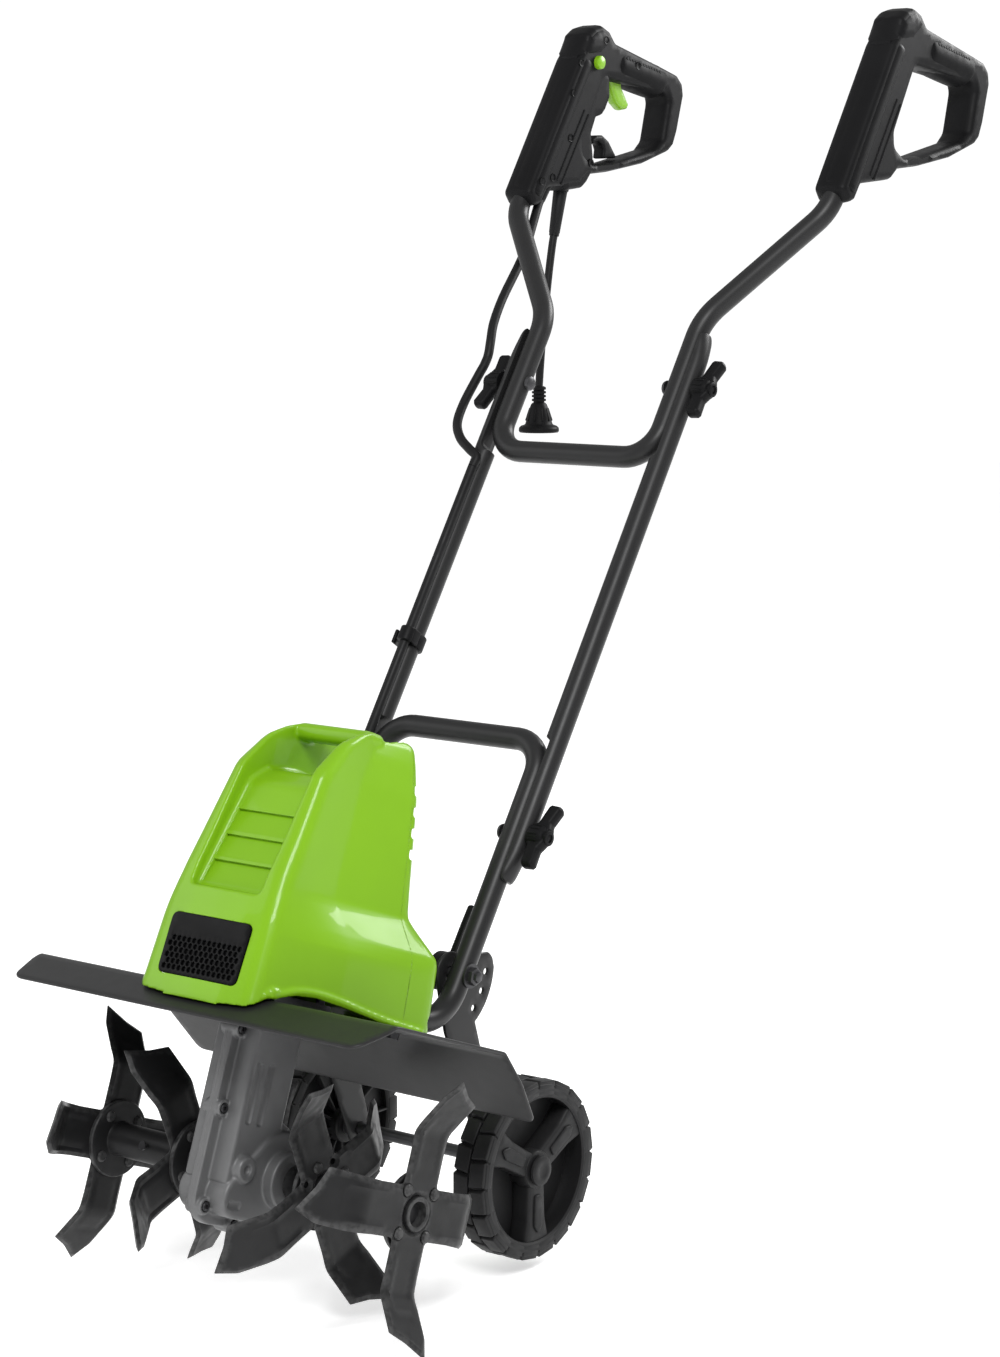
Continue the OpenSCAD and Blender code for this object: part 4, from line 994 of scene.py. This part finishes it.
def channel(grow, z_drop):
    pts = [(-150, 198 - z_drop), (-99 + grow, 198 - z_drop), (-69 + grow, 284 - grow),
           (-52 + grow, 296 - grow), (-20, 300 - grow), (80, 292 - grow), (80, 400), (-150, 400)]
    return plate(rounded(pts, [0, 3, 16, 12, 20, 0, 0, 0]), thick=2 * (34 + grow), roll=4, edge=0.9, step=14)


body = tool(cover_loft(0, RIM - 14, 341))
# the rim follows the deck's flat and its front fold
under = upright([(-150, 93.5), (-99, 127), (90, 127), (90, 80), (-150, 80)], -130, 130, 0.3)
carve(body, under, tool(channel(0, 0), FM @ UPRIGHT))
carry_bar = block(74, 23, 13, 5.5, 5)
weld(body, tool(carry_bar, FM @ at(0, -19, 331.5)))
lip = Shape()
for s in (1, -1):
    arch = [(-104, 128), (-92, 131), (-78, 135.8), (-62, 137.4), (-40, 135.6), (-15, 132), (12, 129),
            (40, 127.5)]
    route = []
    for y, z in arch:
        yf, wf, yr, wr = level_at(z)
        share, mid = (y - yf) / (yr - yf), wf + (wr - wf) * TURN + POD
        x = np.interp(share, (0, TURN, 1), (wf, mid, wr))
        route.append((s * (x - 0.4), y, z))
    lip.add(sweep(smooth_path(route, 5), 2.6, 14, start=(0, 0, 1)))
for s in (-1, 1):
    lip.add(lathe([(0, 127), (5.5, 127), (5.5, 133), (4.6, 134.4), (3.4, 134.6), (2.6, 133.2), (0, 133)], 28),
            at(s * 58, -96, 0))
weld(body, lip)
mould(body, 0.0013, 7)

# what is cut after moulding keeps its crisp edges
cuts = Shape()
SHINGLE_W, SHINGLE_H = 30.5, 18
for z in (202, 222.5, 243):
    # a shingle: flush at its lower edge, 2.4 mm deep under its upper edge
    top, w = z + SHINGLE_H, SHINGLE_W
    y0, y1 = (-99 + (h - 198) * 30 / 86 for h in (z, top))
    pts = [(-w, y0 - 3, z), (w, y0 - 3, z), (w, y0 + 0.2, z), (-w, y0 + 0.2, z), (-w, y1 - 3, top),
           (w, y1 - 3, top), (w, y1 + 2.6, top - 0.7), (-w, y1 + 2.6, top - 0.7)]
    cuts.add((pts, [(3, 2, 1, 0), (4, 5, 6, 7), (0, 1, 5, 4), (1, 2, 6, 5), (2, 3, 7, 6), (3, 0, 4, 7)]))
cuts.add(plate(rounded([(-39.4, 0), (39.4, 0), (39.4, 46.4), (-39.4, 46.4)], 6), thick=14, roll=0.3, edge=1.0,
               step=14), at(0, -117, 129.8) @ LABEL_TILT @ FACING)
for i in range(4):
    cuts.add(block(130, 24, 8, 2.5), at(0, 34, 256 + 16 * i))
for s in (1, -1):
    cuts.add(sweep([(s * LEG_X, 40, FOOT_HEIGHT), (s * LEG_X, 70, FOOT_HEIGHT)], 10.4, 28))
    arch = rounded([(-100, 120), (-96, 127.5), (-80, 133), (-62, 134.6), (-40, 132.6), (-12, 129.4), (8, 126),
                    (8, 120)], 12)
    cuts.add(plate(arch, thick=36, roll=0.4, edge=1.0, step=10), at(s * 76, 0, 0) @ UPRIGHT)
carve(body, cuts)
inner = tool(cover_loft(3.2, RIM - 18, 337, 10))
carve(inner, tool(channel(3.4, 3.4), FM @ UPRIGHT))
carve(body, inner)
rear = add_object("rear", body.data.copy())
HALF_SPACE = block(400, 400, 400, 0)
carve(body, tool(HALF_SPACE, FM @ at(0, 20.2, 200) @ at(0, 200, 0)))
carve(rear, tool(HALF_SPACE, FM @ at(0, 19.5, 200) @ at(0, -200, 0)))
for obj, end in ((body, "front"), (rear, "rear")):
    obj.name = obj.data.name = f"cover_{end}_shell"
    ridden(obj, "chassis", f"cover_{end}")

# Label panel: smooth above, hexagonal mesh below, over a dark backing
mesh_holes = []
for row in range(6):
    for col in range(14):
        u = -33.5 + 5.0 * col + (2.5 if row % 2 else 0)
        v = 5.2 + 4.3 * row
        if abs(u) < 35.5:
            mesh_holes.append([spot((u, v), 2.05, radians(30 + 60 * k)) for k in range(6)])
panel = rounded([(-39, 0), (39, 0), (39, 46), (-39, 46)], 6)
label = Shape()
label.add(plate(panel, mesh_holes, thick=1.6, roll=0.5, step=5), at(0, 0, -0.2))
label.add(plate(panel, thick=1.0, roll=0.4, step=12), at(0, 0, 1.3))
piece("label_panel_face", label, "label_black", FM @ at(0, -115.8, 130) @ LABEL_TILT @ at(0, 1.3, 0) @ FACING,
      "chassis", "label_panel", angle=30)

# ---- Gearbox casting: two halves joined on the middle plane
JOINT = [(-62, 102), (-62, 43), (-58, -29), (-23, -39), (30, -28), (-3, 51), (-3, 100)]


def hull_outline(circles):
    """Outline round a set of (y, z, radius) circles."""
    pts = [q for y, z, r in circles for q in circle((y, z), r, 40)]
    return [pts[i] for i in geometry.convex_hull_2d([Vector(q) for q in pts])]


foot = [(0, 0, 36), (-42, -18, 16)]
column = rounded([(-58, -10), (-8, -10), (-8, 123), (-58, 123)], 3)
casting = tool(upright(hull_outline(foot), -24, 24, 3))
weld(casting, upright(column, -21, 21, 3), upright(hull_outline([(0, 0, 42), (-46, -20, 22)]), -4, 4, 1),
     upright(rounded([(-68, -20), (-2, -20), (-2, 122), (-68, 122)], 3), -4, 4, 1),
     turned([(0, -34), (21, -34), (22, -33), (22, 33), (21, 34), (0, 34)], 48, X_AXIS))
for y, z in JOINT:
    weld(casting, turned([(0, -8), (6, -8), (6.6, -7), (6.6, 7), (6, 8), (0, 8)], 28, at(0, y, z) @ X_AXIS))
weld(casting, turned([(0, 15), (12, 15), (9.4, 26), (8.6, 27), (0, 27)], 32, at(0, -43, 3) @ X_AXIS),
     Shape().add(block(72, 66, 7, 2), at(0, -37, 120)))
cut = Shape()
for s in (1, -1):
    for y in (-48, -35):
        cut.add(block(5, 6, 46, 1.8), at(s * 21.6, y, 58))
    for y, z in JOINT:
        cut.add(lathe([(0, 5.6), (4.1, 5.6), (4.1, 9), (0, 9)], 20),
                (MIRROR if s < 0 else Matrix()) @ at(0, y, z) @ X_AXIS)
cut.add(lathe([(0, 24), (3.6, 24), (3.8, 28), (0, 28)], 24), at(0, -43, 3) @ X_AXIS)
cut.add(block(4, 14, 6, 1.5), at(24.5, -46, -24))
carve(casting, cut)
mould(casting, 0.0008, 4)
hollow = tool(upright(hull_outline([(0, 0, 31), (-37, 0, 9)]), -19, 19, 2))
weld(hollow, upright([(-49, 0), (-13, 0), (-13, 115), (-49, 115)], -16, 16, 1),
     turned([(0, -30), (16.1, -30), (16.1, 30), (0, 30)], 40, X_AXIS),
     turned([(0, -40), (9.7, -40), (9.7, 40), (0, 40)], 40, X_AXIS),
     turned([(0, 100), (11.1, 100), (11.1, 130), (0, 130)], 40, at(0, -37, 0)))
carve(casting, hollow)
left_half = add_object("left_half", casting.data.copy())
HALF_BOX = block(200, 400, 400, 0)
carve(casting, tool(HALF_BOX, FM @ at(-99.9, 0, 0)))
carve(left_half, tool(HALF_BOX, FM @ at(99.9, 0, 0)))
for obj, side in ((casting, "right"), (left_half, "left")):
    obj.name = obj.data.name = f"gearbox_{side}_casting"
    obj.data.materials.clear()
    obj.data.materials.append(MAT["gearbox_cast"])
    ridden(obj, "chassis", f"gearbox_{side}")
joint_bolts = Shape()
for y, z in JOINT:
    joint_bolts.add(lathe([(0, -5), (1.7, -5), (1.7, 5.7), (3.6, 5.7), (3.7, 8), (3.2, 8.8), (1.6, 9),
                           (1.5, 7), (0, 7)], 20), at(0, y, z) @ X_AXIS)
for s in (1, -1):
    joint_bolts.add(lathe([(0, 0), (1.5, 0), (1.5, 28), (3.5, 28), (3.6, 29.2), (3, 30), (0, 30.2)], 20),
                    at(s * 57, 12, 150) @ rot(-90, "X"))
    for y in (-62, -12):
        joint_bolts.add(lathe([(0, 116), (5, 116), (5, 112.4), (4.4, 112), (0, 112)], 6), at(s * 27, y, 0))
piece("housing_screw_set", joint_bolts, "dark_steel", FM, "chassis", "housing_screws", slot="steel")

# ---- Floor and light
floor_mesh = bpy.data.meshes.new("floor")
FLOOR_R = 9.0
rim = [(x, y, 0.0) for x, y in circle((0, 0), FLOOR_R, 96)]
floor_mesh.from_pydata(rim, [], [tuple(range(len(rim)))])
floor = add_object("floor", floor_mesh)
floor.location.z = -0.0005
floor_mat = bpy.data.materials.new("floor_paper")
floor_mat.use_nodes = True
shader = floor_mat.node_tree.nodes["Principled BSDF"]
for key, value in (("Base Color", (0.9, 0.9, 0.9, 1)), ("Emission Color", (1, 1, 1, 1)),
                   ("Emission Strength", 0.5), ("Roughness", 0.6)):
    shader.inputs[key].default_value = value
floor_mesh.materials.append(floor_mat)
world = bpy.data.worlds.new("world")
bpy.context.scene.world = world
world.use_nodes = True
studio = world.node_tree
backdrop = studio.nodes["Background"]
backdrop.inputs["Color"].default_value = (1, 1, 1, 1)
# the studio is dimmer as a light than it looks behind the object
seen = studio.nodes.new("ShaderNodeLightPath")
strength = studio.nodes.new("ShaderNodeMapRange")
strength.inputs["To Min"].default_value = 0.56
strength.inputs["To Max"].default_value = 1.05
studio.links.new(seen.outputs["Is Camera Ray"], strength.inputs["Value"])
studio.links.new(strength.outputs["Result"], backdrop.inputs["Strength"])


def area_light(name, place, target, size_m, power):
    data = bpy.data.lights.new(name, "AREA")
    data.shape = "RECTANGLE"
    data.size, data.size_y = size_m
    data.energy = power
    lamp = add_object(name, data)
    lamp.visible_camera = False
    aim = (Vector(target) - Vector(place)).to_track_quat("-Z", "Y")
    lamp.matrix_world = Matrix.Translation(place) @ aim.to_matrix().to_4x4()


area_light("key", (1.5, -1.7, 2.3), (0, 0, 0.3), (1.0, 1.0), 62)
area_light("fill", (-1.8, -1.6, 1.4), (0, 0, 0.4), (1.4, 1.6), 12)
area_light("rim", (0.62, 1.75, 1.6), (0, -0.2, 0.4), (1.0, 0.8), 34)
bpy.context.scene.view_settings.view_transform = "Standard"
